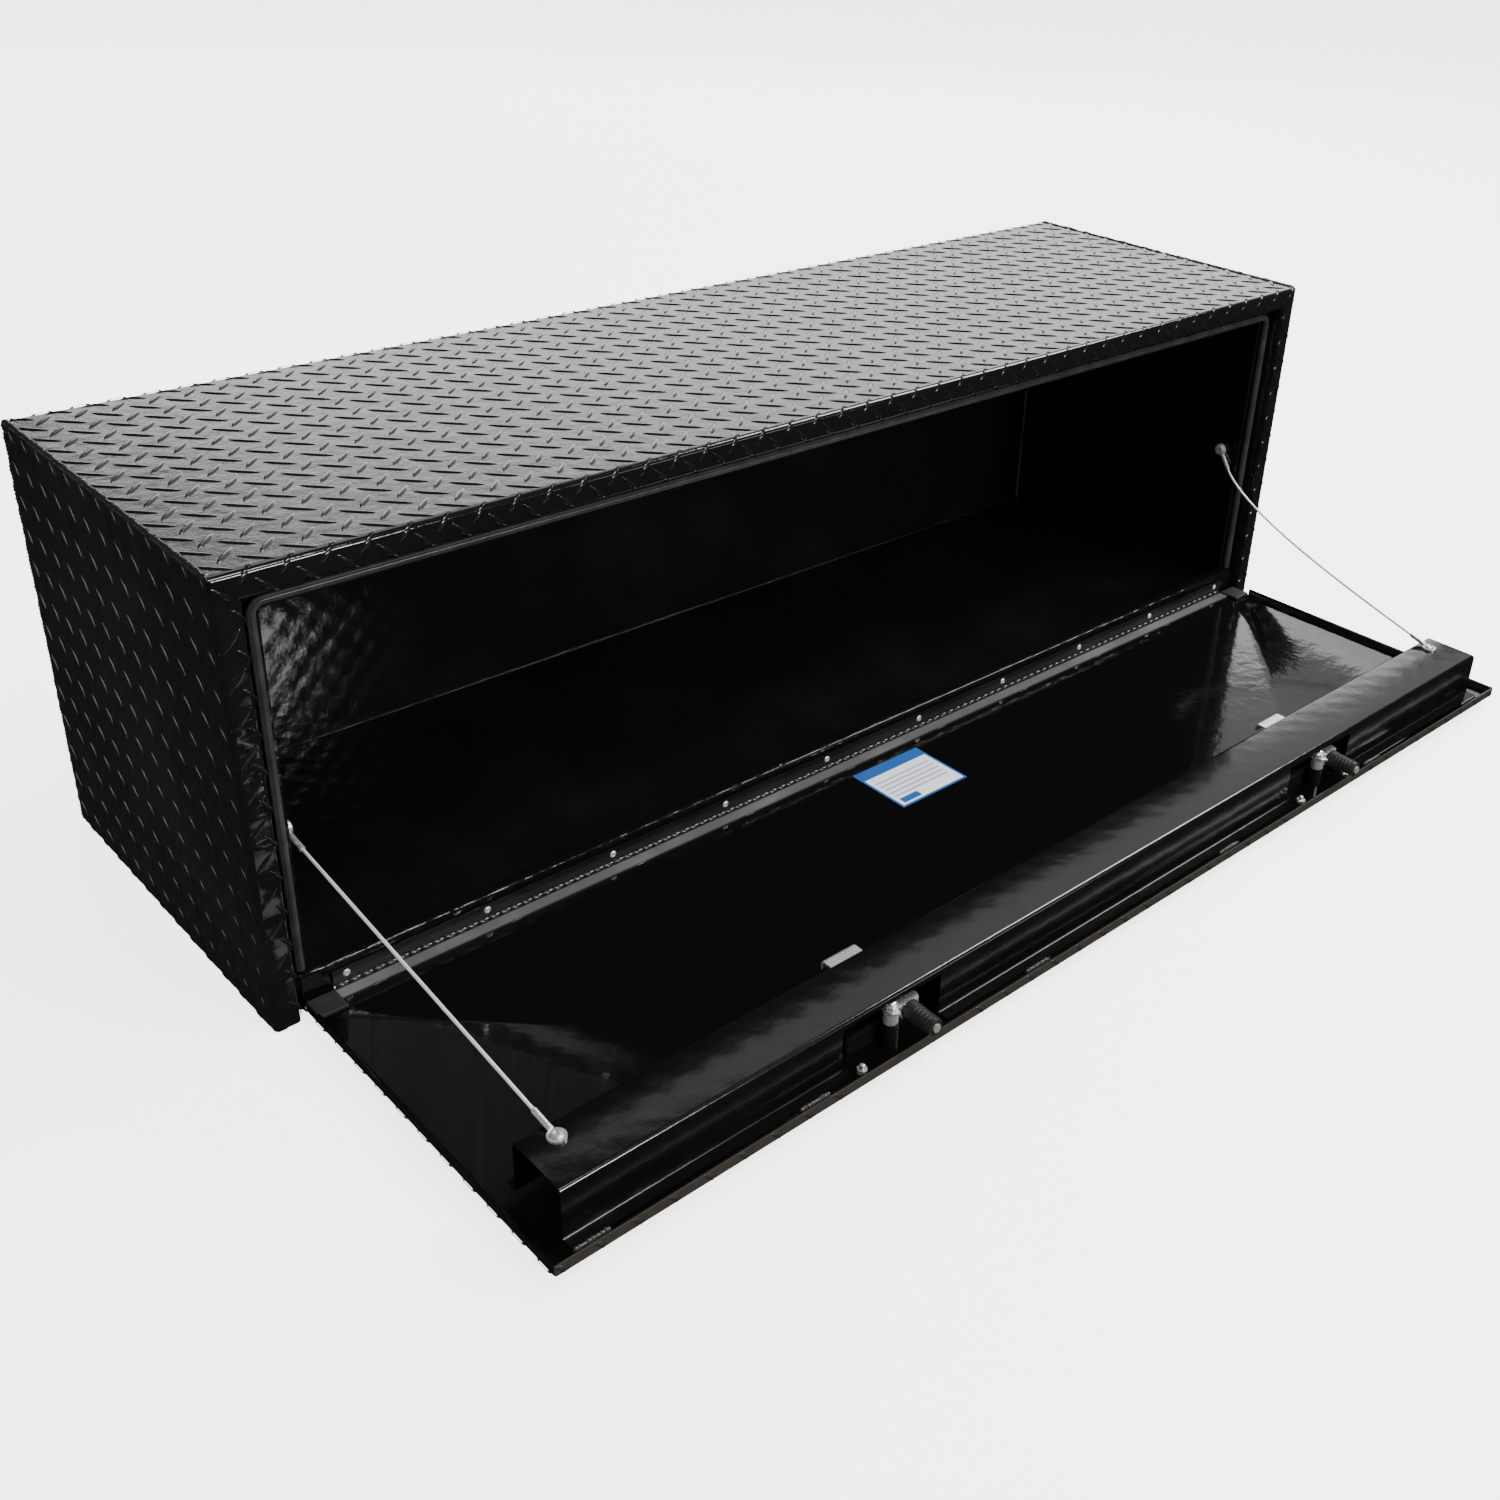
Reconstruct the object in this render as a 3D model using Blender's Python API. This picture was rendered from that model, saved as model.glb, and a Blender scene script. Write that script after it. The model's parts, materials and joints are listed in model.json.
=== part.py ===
"""Underbody truck tool box: a folded sheet body with a drop-down door.

Metres, +Z up. The origin is the middle of the body's underside, +X runs along
the length, and the mouth faces -Y. The door hangs open, level with the floor.
"""
import math

import bmesh
import bpy
from mathutils import Matrix, Vector

# ---------------------------------------------------------------- dimensions
LENGTH = 1.524
DEPTH = 0.4572
HEIGHT = 0.4572
SHEET = 0.0025
BEND = 0.0015            # inside radius of a fold
GAP = 0.0003             # clearance between touching pieces

FRONT = -DEPTH / 2
FLANGE = 0.026           # width of the front flange, seen from the front
RECESS = 0.021           # how far the seal lip is set back
LIP = 0.020
LEG = 0.008              # how far the frame folds back over the top and sides
SEAL_RADIUS = 0.0045
SEAL_INSET = 0.037
SEAL_DEPTH = RECESS - GAP - SEAL_RADIUS

SILL_HEIGHT = 0.042
SILL_SETBACK = 0.0091
SILL_FLANGE = 0.015
SILL_FOOT = 0.030
SILL_HALF = LENGTH / 2 - FLANGE - 0.0075

AXIS_Y = FRONT + 0.0058  # the door's hinge line
AXIS_Z = 0.016
FACE = -0.0058           # the door's outer face, measured from the hinge line
DOOR_HALF = 0.7325
DOOR_WIDTH = 0.413
DOOR_TAIL = 0.0029
RIM = 0.012
RIM_START = 0.031        # the rim stops here, clear of the sill

HINGE_HALF = 0.700
LEAF = 0.0015
KNUCKLES = 20
BARREL_RADIUS = 0.0030
BORE_RADIUS = 0.0017
PIN_RADIUS = 0.0014
DOOR_LEAF_WIDTH = 0.015
BODY_LEAF_TOP = 0.0335
RIVETS = 10
RIVET_PITCH = 0.1524
RIVET_HEIGHT = 0.027
RIVET_SHANK = 0.0016

CHANNEL_HALF = 0.7085
CHANNEL_SHEET = 0.002
CHANNEL_NEAR = 0.320     # hinge-side wall, from the hinge line
CHANNEL_FAR = 0.3885
CHANNEL_TOP = 0.057      # from the door's outer face
CHANNEL_FOOT = 0.012
WINDOW_HALF = 0.062
WINDOW_TOP = 0.050

LATCH_X = 0.350
SHAFT_AT = 0.386         # spindle centre, from the hinge line
PLATE_SHEET = 0.0012
POCKET_HALF = 0.045
POCKET_NEAR = 0.3285
POCKET_FAR = 0.3765
POCKET_TOP = 0.0225
POCKET_WALL = 0.0015
BOSS_RADIUS = 0.008
SPINDLE_RADIUS = 0.006
STUD_X = 0.0475
STUD_AT = 0.400
STUD_RADIUS = 0.0025
STUD_TOP = 0.0112        # short enough to clear the seal when the door is shut
HANDLE_PIN_DROP = 0.0050  # handle pin below the door's outer face
CAM_UNDERSIDE = 0.0390
CAM_SHEET = 0.0025
STRIKE_X = 0.018
STRIKE_HEIGHT = 0.0345
STRIKE_RADIUS = 0.0042
SLEEVE_REACH = 0.040

EYE_AT = 0.3395          # lower cable eye, from the hinge line
EYE_X = 0.6788
EYE_THICK = 0.0024
ANCHOR_X = 0.7095
ANCHOR_DEPTH = 0.0461
ANCHOR_HEIGHT = {"left": 0.178, "right": 0.222}
CABLE_RADIUS = 0.0016
FERRULE_RADIUS = 0.0028
EYE_RIM = 0.0085
FERRULE_END = 0.030
# How each cable leaves its two eyes: the left one is taut, the right one hangs.
CABLE_SLACK = {"left": 0.0, "right": 0.055}

SIDES = {"left": -1.0, "right": 1.0}
BLACK = (0.012, 0.012, 0.013, 1.0)
ZINC = (0.62, 0.63, 0.64, 1.0)
RUBBER = (0.035, 0.035, 0.037, 1.0)


# ------------------------------------------------------------------- helpers
def clear_scene():
    for item in list(bpy.data.objects):
        bpy.data.objects.remove(item, do_unlink=True)


def paint(name, colour, roughness, metallic):
    """A material of its own for one piece."""
    material = bpy.data.materials.new(name)
    material.use_nodes = True
    shader = material.node_tree.nodes["Principled BSDF"]
    shader.inputs["Base Color"].default_value = colour
    shader.inputs["Roughness"].default_value = roughness
    shader.inputs["Metallic"].default_value = metallic
    return material


def empty(name, location, parent=None):
    pivot = bpy.data.objects.new(name, None)
    bpy.context.collection.objects.link(pivot)
    pivot.location = location
    pivot.parent = parent
    return pivot


def add(name, shape, finish, parent=None, smooth=None):
    """Turn a bmesh into a named object with its own material."""
    bmesh.ops.recalc_face_normals(shape, faces=shape.faces)
    mesh = bpy.data.meshes.new(name)
    shape.to_mesh(mesh)
    shape.free()
    if smooth is not None:
        mesh.shade_smooth()
        mesh.set_sharp_from_angle(angle=math.radians(smooth))
    item = bpy.data.objects.new(name, mesh)
    bpy.context.collection.objects.link(item)
    item.parent = parent
    mesh.materials.append(paint(name + "_finish", *finish))
    return item


def block(low, high):
    """A box from its lowest to its highest corner."""
    shape = bmesh.new()
    bmesh.ops.create_cube(shape, size=1.0)
    low = Vector(low)
    high = Vector(high)
    size = high - low
    for vertex in shape.verts:
        vertex.co = low + Vector(((vertex.co[i] + 0.5) * size[i] for i in range(3)))
    return shape


def rod(start, end, radius, sides=16):
    """A round bar between two points."""
    start = Vector(start)
    end = Vector(end)
    shape = bmesh.new()
    bmesh.ops.create_cone(shape, cap_ends=True, segments=sides, radius1=radius,
                          radius2=radius, depth=(end - start).length)
    turn = (end - start).to_track_quat("Z", "Y").to_matrix().to_4x4()
    bmesh.ops.transform(shape, matrix=Matrix.Translation((start + end) / 2) @ turn,
                        verts=shape.verts)
    return shape


def prism(outline, place):
    """A solid with this outline at both ends; place(u, v, end) gives each corner."""
    shape = bmesh.new()
    rings = []
    for end in (0, 1):
        rings.append([shape.verts.new(place(u, v, end)) for u, v in outline])
    shape.faces.new(rings[0])
    shape.faces.new(list(reversed(rings[1])))
    count = len(outline)
    for i in range(count):
        j = (i + 1) % count
        shape.faces.new((rings[0][i], rings[1][i], rings[1][j], rings[0][j]))
    return shape


def turned(profile, sides=12):
    """A solid of revolution about Z from (radius, height) pairs, with end caps."""
    shape = bmesh.new()
    rings = []
    for radius, height in profile:
        ring = []
        for k in range(sides):
            angle = 2 * math.pi * k / sides
            ring.append(shape.verts.new((radius * math.cos(angle), radius * math.sin(angle), height)))
        rings.append(ring)
    for lower, upper in zip(rings, rings[1:]):
        for k in range(sides):
            j = (k + 1) % sides
            shape.faces.new((lower[k], lower[j], upper[j], upper[k]))
    shape.faces.new(list(reversed(rings[0])))
    shape.faces.new(rings[-1])
    return shape


def folded(path, thickness, bend=BEND, steps=2):
    """The closed outline of a sheet folded along a path, built to the path's left."""
    points = [Vector(point) for point in path]
    near = [points[0]]
    far = []
    count = len(points)
    headings = [(points[i + 1] - points[i]).normalized() for i in range(count - 1)]
    lefts = [Vector((-h.y, h.x)) for h in headings]
    far.append(points[0] + lefts[0] * thickness)
    for i in range(1, count - 1):
        before = lefts[i - 1]
        after = lefts[i]
        left_turn = headings[i - 1].cross(headings[i]) > 0
        offset = thickness + bend if left_turn else -bend
        centre = points[i] + (before + after) * (offset / (1 + before.dot(after)))
        turn = before.angle_signed(after)
        for k in range(steps + 1):
            normal = Matrix.Rotation(-turn * k / steps, 2) @ before
            near.append(centre - normal * offset)
            far.append(centre - normal * (offset - thickness))
    near.append(points[-1])
    far.append(points[-1] + lefts[-1] * thickness)
    return [tuple(p) for p in near + list(reversed(far))]


def boolean(item, shapes, operation):
    """Join or cut with each helper shape, and apply it to the object's own mesh."""
    for shape in shapes:
        bmesh.ops.recalc_face_normals(shape, faces=shape.faces)
        mesh = bpy.data.meshes.new("helper")
        shape.to_mesh(mesh)
        shape.free()
        helper = bpy.data.objects.new("helper", mesh)
        bpy.context.collection.objects.link(helper)
        helper.parent = item.parent
        helper.hide_render = True
        helper.display_type = "WIRE"
        modifier = item.modifiers.new(operation, "BOOLEAN")
        modifier.operation = operation
        modifier.solver = "EXACT"
        modifier.object = helper
        bpy.context.view_layer.update()
        graph = bpy.context.evaluated_depsgraph_get()
        result = bpy.data.meshes.new_from_object(item.evaluated_get(graph))
        item.modifiers.clear()
        old = item.data
        item.data = result
        result.name = item.name
        bpy.data.meshes.remove(old)
        bpy.data.objects.remove(helper, do_unlink=True)
    return item


def cut(item, shapes):
    return boolean(item, shapes, "DIFFERENCE")


def join(item, shapes):
    return boolean(item, shapes, "UNION")


def soften(item, width):
    """A small bevel on the sharp edges."""
    modifier = item.modifiers.new("edges", "BEVEL")
    modifier.width = width
    modifier.segments = 2
    modifier.limit_method = "ANGLE"
    modifier.angle_limit = math.radians(50)
    return item


def tube(name, points, radius, finish, resolution, parent=None):
    """A round tube through the points, as a bevelled curve with closed ends."""
    curve = bpy.data.curves.new(name, "CURVE")
    curve.dimensions = "3D"
    curve.bevel_depth = radius
    curve.bevel_resolution = resolution
    curve.use_fill_caps = True
    spline = curve.splines.new("POLY")
    spline.points.add(len(points) - 1)
    for target, point in zip(spline.points, points):
        target.co = (*point, 1.0)
    curve.materials.append(paint(name + "_finish", *finish))
    item = bpy.data.objects.new(name, curve)
    bpy.context.collection.objects.link(item)
    item.parent = parent
    return item


# ---------------------------------------------------------------------- body
def shell():
    """Bottom, back and top in one folded sheet, and the two ends between them."""
    path = [(FRONT + SILL_SETBACK + SILL_FOOT + GAP, 0.0), (DEPTH / 2, 0.0),
            (DEPTH / 2, HEIGHT), (FRONT + LEG + GAP, HEIGHT)]
    half = LENGTH / 2 - SHEET - GAP
    wrap = prism(folded(path, SHEET), lambda y, z, end: ((2 * end - 1) * half, y, z))
    add("shell_wrap", wrap, (BLACK, 0.3, 0.0), smooth=40)
    for side, sign in SIDES.items():
        ends = sorted((sign * LENGTH / 2, sign * (LENGTH / 2 - SHEET)))
        panel = block((ends[0], FRONT + LEG + GAP, 0.0), (ends[1], DEPTH / 2, HEIGHT))
        add("end_panel_" + side, panel, (BLACK, 0.3, 0.0))


def frame():
    """The front frame: flange, recess and seal lip, mitred at the top corners."""
    outline = folded([(0.0, LEG), (0.0, 0.0), (FLANGE, 0.0), (FLANGE, RECESS),
                      (FLANGE + LIP, RECESS)], SHEET)
    rail = prism(outline, lambda inset, back, end: (
        (2 * end - 1) * (LENGTH / 2 - inset - GAP), FRONT + back, HEIGHT - inset))
    add("frame_top_rail", rail, (BLACK, 0.3, 0.0), smooth=40)
    for side, sign in SIDES.items():
        stile = prism(outline, lambda inset, back, end: (
            sign * (LENGTH / 2 - inset), FRONT + back, end * (HEIGHT - inset - GAP)))
        item = add("frame_stile_" + side, stile, (BLACK, 0.3, 0.0), smooth=40)
        inner = sorted((sign * (LENGTH / 2 - FLANGE - GAP), sign * (LENGTH / 2 - FLANGE - LIP - 0.01)))
        notch = block((inner[0], FRONT + 0.012, -0.01), (inner[1], FRONT + 0.05, SILL_HEIGHT + 0.001))
        cut(item, [notch])


def sill():
    """The low front sill that carries the hinge, folded in at top and bottom."""
    face = FRONT + SILL_SETBACK
    path = [(face + SILL_FLANGE, SILL_HEIGHT), (face, SILL_HEIGHT), (face, 0.0), (face + SILL_FOOT, 0.0)]
    shape = prism(folded(path, SHEET), lambda y, z, end: ((2 * end - 1) * SILL_HALF, y, z))
    item = add("frame_sill", shape, (BLACK, 0.3, 0.0), smooth=40)
    cut(item, [rivet_hole(k) for k in range(RIVETS)])


def seal():
    """The bulb seal, up both sides of the mouth and across its top."""
    side = LENGTH / 2 - SEAL_INSET
    top = HEIGHT - SEAL_INSET
    corner = 0.012
    depth = FRONT + SEAL_DEPTH
    path = [Vector((-side, depth, SILL_HEIGHT + 0.003))]
    for sign in (-1, 1):
        for k in range(5):
            angle = math.pi - k * math.pi / 8 if sign < 0 else math.pi / 2 - k * math.pi / 8
            path.append(Vector((sign * (side - corner) + corner * math.cos(angle), depth,
                                top - corner + corner * math.sin(angle))))
    path.append(Vector((side, depth, SILL_HEIGHT + 0.003)))
    tube("door_seal", path, SEAL_RADIUS, (RUBBER, 0.7, 0.0), 2)


# --------------------------------------------------------------------- hinge
def rivet_x(number):
    return (number - (RIVETS - 1) / 2) * RIVET_PITCH


def rivet_hole(number):
    x = rivet_x(number)
    return rod((x, FRONT, RIVET_HEIGHT), (x, FRONT + 0.02, RIVET_HEIGHT), RIVET_SHANK + GAP, 10)


def knuckles(first, origin):
    """Every second knuckle along the hinge, as closed rings in one shape."""
    pitch = 2 * HINGE_HALF / KNUCKLES
    shape = bmesh.new()
    for number in range(first, KNUCKLES, 2):
        start = -HINGE_HALF + number * pitch + GAP / 2
        ends = (start, start + pitch - GAP)
        rings = []
        for x in ends:
            for radius in (BARREL_RADIUS, BORE_RADIUS):
                ring = []
                for k in range(12):
                    angle = 2 * math.pi * (k + 0.5) / 12
                    ring.append(shape.verts.new((x, origin[0] + radius * math.cos(angle),
                                                 origin[1] + radius * math.sin(angle))))
                rings.append(ring)
        outer, inner, outer_far, inner_far = rings
        for k in range(12):
            j = (k + 1) % 12
            shape.faces.new((outer[k], outer[j], outer_far[j], outer_far[k]))
            shape.faces.new((inner[j], inner[k], inner_far[k], inner_far[j]))
            shape.faces.new((outer[j], outer[k], inner[k], inner[j]))
            shape.faces.new((outer_far[k], outer_far[j], inner_far[j], inner_far[k]))
    return shape


def knuckle_reliefs(first, low, high):
    """Pockets in a leaf's edge that clear the other leaf's knuckles."""
    pitch = 2 * HINGE_HALF / KNUCKLES
    shapes = []
    for number in range(first, KNUCKLES, 2):
        start = -HINGE_HALF + number * pitch - GAP
        shapes.append(block((start, low[0], low[1]), (start + pitch + 2 * GAP, high[0], high[1])))
    return shapes


def hinge(door):
    """A piano hinge: two leaves with knuckles in turn on one long pin."""
    near = AXIS_Y + BORE_RADIUS - 0.0002
    leaf = block((-HINGE_HALF, near, AXIS_Z + 0.0022), (HINGE_HALF, near + LEAF, BODY_LEAF_TOP))
    item = add("hinge_body_leaf", leaf, (BLACK, 0.35, 0.2), smooth=35)
    cut(item, knuckle_reliefs(1, (near - 0.002, AXIS_Z), (near + 0.004, AXIS_Z + BARREL_RADIUS + GAP)))
    join(item, [knuckles(0, (AXIS_Y, AXIS_Z))])
    cut(item, [rivet_hole(k) for k in range(RIVETS)])

    low = -BARREL_RADIUS
    leaf = block((-HINGE_HALF, -DOOR_LEAF_WIDTH, low), (HINGE_HALF, -0.0022, low + LEAF))
    item = add("hinge_door_leaf", leaf, (BLACK, 0.35, 0.2), parent=door, smooth=35)
    cut(item, knuckle_reliefs(0, (-BARREL_RADIUS - GAP, low - 0.002), (0.0, low + 0.004)))
    join(item, [knuckles(1, (0.0, 0.0))])

    pin = rod((-HINGE_HALF, AXIS_Y, AXIS_Z), (HINGE_HALF, AXIS_Y, AXIS_Z), PIN_RADIUS, 12)
    add("hinge_pin", pin, (ZINC, 0.35, 1.0), smooth=40)

    outer = near - GAP
    inner = FRONT + SILL_SETBACK + SHEET + GAP
    dome = [(0.0046, 0.0), (0.0046, 0.0004), (0.0038, 0.0012), (0.0020, 0.0017), (0.0005, 0.0018)]
    tail = [(0.0029, -(inner - outer) - 0.0020), (0.0029, -(inner - outer)), (RIVET_SHANK, -(inner - outer)),
            (RIVET_SHANK, 0.0)]
    for k in range(RIVETS):
        shape = turned(tail + dome)
        turn = Matrix.Rotation(math.radians(90), 4, "X")
        bmesh.ops.transform(shape, matrix=turn, verts=shape.verts)
        item = add("hinge_rivet_%02d" % (k + 1), shape, (ZINC, 0.3, 1.0), smooth=50)
        item.location = (rivet_x(k), outer, RIVET_HEIGHT)


# ---------------------------------------------------------------------- door
def door_skin(door):
    """A shallow pan: the outer skin with a rim on its two ends and free edge."""
    low = FACE
    pan = block((-DOOR_HALF, -DOOR_WIDTH, low), (DOOR_HALF, DOOR_TAIL, low + RIM))
    item = add("door_skin", pan, (BLACK, 0.25, 0.0), parent=door)
    inner = DOOR_HALF - SHEET
    hollow = block((-inner, -DOOR_WIDTH + SHEET, low + SHEET), (inner, 0.02, low + 0.03))
    clearance = block((-1.0, -RIM_START, low + SHEET), (1.0, 0.02, low + 0.03))
    cuts = [hollow, clearance]
    for sign in SIDES.values():
        x = sign * LATCH_X
        cuts.append(block((x - POCKET_HALF - GAP, -POCKET_FAR - GAP, low - 0.01),
                          (x + POCKET_HALF + GAP, -POCKET_NEAR + GAP, low + 0.01)))
        cuts.append(rod((x, -SHAFT_AT, low - 0.01), (x, -SHAFT_AT, low + 0.01), BOSS_RADIUS + GAP, 20))
        for hand in (-1, 1):
            stud = (x + hand * STUD_X, -STUD_AT)
            cuts.append(rod((*stud, low - 0.01), (*stud, low + 0.01), STUD_RADIUS + GAP, 10))
    cut(item, cuts)


def channel(door):
    """A hat-shaped stiffener along the door, open at its ends."""
    foot = FACE + SHEET + GAP
    near = CHANNEL_NEAR + CHANNEL_SHEET
    far = CHANNEL_FAR - CHANNEL_SHEET
    under = FACE + CHANNEL_TOP - CHANNEL_SHEET
    path = [(-far - CHANNEL_FOOT, foot), (-far, foot), (-far, under), (-near, under), (-near, foot),
            (-near + CHANNEL_FOOT, foot)]
    shape = prism(folded(path, CHANNEL_SHEET), lambda y, z, end: ((2 * end - 1) * CHANNEL_HALF, y, z))
    item = add("latch_channel", shape, (BLACK, 0.25, 0.0), parent=door, smooth=40)
    cuts = []
    for sign in SIDES.values():
        x = sign * LATCH_X
        eye_x = sign * EYE_X
        window = block((x - WINDOW_HALF, -0.410, FACE - 0.01), (x + WINDOW_HALF, -0.372, FACE + WINDOW_TOP))
        slot = block((x - 0.0145, -near - 0.004, FACE + 0.0515), (x + 0.0265, -near + 0.006, FACE + 0.0546))
        bolt_hole = rod((eye_x, -EYE_AT, FACE + 0.04), (eye_x, -EYE_AT, FACE + 0.07), 0.0033, 12)
        cuts += [window, slot, bolt_hole]
    cut(item, cuts)


def door_trim(door):
    """The blank label and the rubber pads that close the hinge's ends."""
    base = FACE + SHEET + GAP
    label = block((-0.0634, -0.116, base), (0.0406, -0.031, base + 0.0004))
    add("door_label", label, ((0.75, 0.78, 0.82, 1.0), 0.4, 0.0), parent=door)
    for side, sign in SIDES.items():
        ends = sorted((sign * 0.7005, sign * 0.7295))
        pad = block((ends[0], -0.0305, base), (ends[1], -0.003, base + 0.004))
        item = add("corner_pad_" + side, pad, (RUBBER, 0.7, 0.0), parent=door)
        soften(item, 0.0008)


# ------------------------------------------------------------------- latches
def latch_dish(side, x, door):
    """The outer plate with its finger pocket, spindle boss and two studs."""
    face = FACE
    plate = block((x - 0.058, -0.4085, face - GAP - PLATE_SHEET), (x + 0.058, -0.3205, face - GAP))
    item = add("latch_dish_" + side, plate, (BLACK, 0.4, 0.0), parent=door, smooth=40)
    pocket = block((x - POCKET_HALF, -POCKET_FAR, face - GAP - PLATE_SHEET),
                   (x + POCKET_HALF, -POCKET_NEAR, face + POCKET_TOP))
    bmesh.ops.bevel(pocket, geom=[e for e in pocket.edges if max(v.co.z for v in e.verts) > face + 0.02],
                    offset=0.0035, segments=2, profile=0.5, affect="EDGES")
    boss = rod((x, -SHAFT_AT, face - GAP - PLATE_SHEET), (x, -SHAFT_AT, face + 0.026), BOSS_RADIUS, 20)
    studs = [rod((x + hand * STUD_X, -STUD_AT, face - GAP - 0.0006),
                 (x + hand * STUD_X, -STUD_AT, face + STUD_TOP), STUD_RADIUS, 12) for hand in (-1, 1)]
    join(item, [pocket, boss] + studs)
    wall = POCKET_WALL
    hollow = block((x - POCKET_HALF + wall, -POCKET_FAR + wall, face - 0.01),
                   (x + POCKET_HALF - wall, -POCKET_NEAR - wall, face + POCKET_TOP - wall))
    bore = rod((x, -SHAFT_AT, face - 0.01), (x, -SHAFT_AT, face + 0.04), SPINDLE_RADIUS + GAP, 20)
    cut(item, [hollow, bore])
    for hand, label in ((-1, "a"), (1, "b")):
        nut = hex_nut(0.0055, STUD_RADIUS + GAP, 0.0048)
        nut_item = add("dish_nut_%s_%s" % (side, label), nut, (ZINC, 0.3, 1.0), parent=door, smooth=35)
        nut_item.location = (x + hand * STUD_X, -STUD_AT, face + SHEET + GAP)


def hex_nut(radius, bore, height):
    """A hexagon with a round hole, standing on z = 0."""
    shape = bmesh.new()
    corners = 12
    rings = []
    for level in (0.0, height):
        outer = []
        inner = []
        for k in range(corners):
            angle = 2 * math.pi * k / corners
            reach = radius if k % 2 == 0 else radius * math.cos(math.pi / 6)
            outer.append(shape.verts.new((reach * math.cos(angle), reach * math.sin(angle), level)))
            inner.append(shape.verts.new((bore * math.cos(angle), bore * math.sin(angle), level)))
        rings.append((outer, inner))
    (low_out, low_in), (top_out, top_in) = rings
    for k in range(corners):
        j = (k + 1) % corners
        shape.faces.new((low_out[k], low_out[j], top_out[j], top_out[k]))
        shape.faces.new((low_in[j], low_in[k], top_in[k], top_in[j]))
        shape.faces.new((top_out[k], top_out[j], top_in[j], top_in[k]))
        shape.faces.new((low_out[j], low_out[k], low_in[k], low_in[j]))
    return shape


def tie_bracket(side, x, door):
    """A zinc strap through the channel's hinge-side wall, folded down outside it."""
    top = FACE + 0.0542
    path = [(-0.334, top), (-0.306, top), (-0.306, top - 0.010)]
    mirrored = [(-y, z) for y, z in path]
    outline = [(-y, z) for y, z in folded(mirrored, 0.002, steps=2)]
    shape = prism(outline, lambda y, z, end: (x - 0.0140 + 0.0400 * end, y, z))
    add("tie_bracket_" + side, shape, (ZINC, 0.35, 1.0), parent=door, smooth=40)


def spindle(side, pivot):
    """The turning shaft: handle hub outside, collar and threaded end inside."""
    base = FACE
    outer = base - GAP - PLATE_SHEET - GAP
    shoulder = base + 0.0263
    seat = base + CAM_UNDERSIDE - GAP
    profile = [(0.0048, outer - 0.0020), (0.0048, outer - 0.00005), (SPINDLE_RADIUS, outer - 0.00005),
               (SPINDLE_RADIUS, shoulder), (0.0074, shoulder), (0.0074, seat), (0.0040, seat),
               (0.0040, base + 0.0475), (0.0034, base + 0.0482)]
    item = add("spindle_" + side, turned(profile, 20), (ZINC, 0.35, 1.0), parent=pivot, smooth=35)
    join(item, [block((-0.005, -0.006, base - 0.0085), (0.005, 0.006, outer))])
    pin = base - HANDLE_PIN_DROP
    cut(item, [rod((-0.02, 0.0, pin), (0.02, 0.0, pin), 0.0018, 12)])
    bar = rod((-0.0095, 0.0, pin), (0.0095, 0.0, pin), 0.0015, 12)
    add("handle_pin_" + side, bar, (ZINC, 0.3, 1.0), parent=pivot, smooth=40)


def cam(side, pivot):
    """The bent cam plate, its nut, and the strike bolt with its rubber sleeve."""
    under = FACE + CAM_UNDERSIDE
    top = under + CAM_SHEET
    outline = [(-0.0070, 0.001), (-0.0060, 0.019), (0.014, 0.021), (0.034, 0.015), (0.034, 0.0010),
               (0.031, -0.0045), (0.005, -0.0045), (0.001, -0.0120), (-0.0060, -0.0070)]
    plate = prism(outline, lambda px, py, end: (px, py, under + end * CAM_SHEET))
    item = add("cam_plate_" + side, plate, (ZINC, 0.35, 1.0), parent=pivot, smooth=35)
    bolt_z = FACE + STRIKE_HEIGHT
    flange = block((0.0095, -0.0045, FACE + 0.0265), (0.0310, -0.0020, top - 0.0004))
    join(item, [flange])
    cut(item, [rod((0.0, 0.0, under - 0.01), (0.0, 0.0, top + 0.01), 0.0043, 16),
               rod((STRIKE_X, 0.01, bolt_z), (STRIKE_X, -0.01, bolt_z), STRIKE_RADIUS + GAP, 16)])
    soften(item, 0.0004)

    nut = hex_nut(0.0070, 0.0043, 0.0045)
    nut_item = add("cam_nut_" + side, nut, (ZINC, 0.3, 1.0), parent=pivot, smooth=35)
    nut_item.location = (0.0, 0.0, top + GAP)

    bolt = rod((STRIKE_X, 0.003, bolt_z), (STRIKE_X, -SLEEVE_REACH - 0.002, bolt_z), STRIKE_RADIUS, 16)
    add("strike_bolt_" + side, bolt, (ZINC, 0.3, 1.0), parent=pivot, smooth=35)

    start = 0.0045 + GAP
    bore = STRIKE_RADIUS + GAP
    profile = [(bore, start), (0.0099, start), (0.0100, start + 0.001), (0.0100, 0.012), (0.0094, 0.026),
               (0.0089, SLEEVE_REACH - 0.001), (0.0083, SLEEVE_REACH), (bore, SLEEVE_REACH)]
    sleeve = ring_turned(profile, 20)
    turn = Matrix.Rotation(math.radians(90), 4, "X")
    bmesh.ops.transform(sleeve, matrix=Matrix.Translation((STRIKE_X, 0.0, bolt_z)) @ turn, verts=sleeve.verts)
    add("bolt_sleeve_" + side, sleeve, (RUBBER, 0.6, 0.0), parent=pivot, smooth=35)


def ring_turned(profile, sides):
    """A closed ring turned about Z: the last profile point joins back to the first."""
    shape = bmesh.new()
    rings = []
    for radius, height in profile:
        rings.append([shape.verts.new((radius * math.cos(2 * math.pi * k / sides),
                                       radius * math.sin(2 * math.pi * k / sides), height))
                      for k in range(sides)])
    count = len(rings)
    for i in range(count):
        lower = rings[i]
        upper = rings[(i + 1) % count]
        for k in range(sides):
            j = (k + 1) % sides
            shape.faces.new((lower[k], lower[j], upper[j], upper[k]))
    return shape


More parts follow.
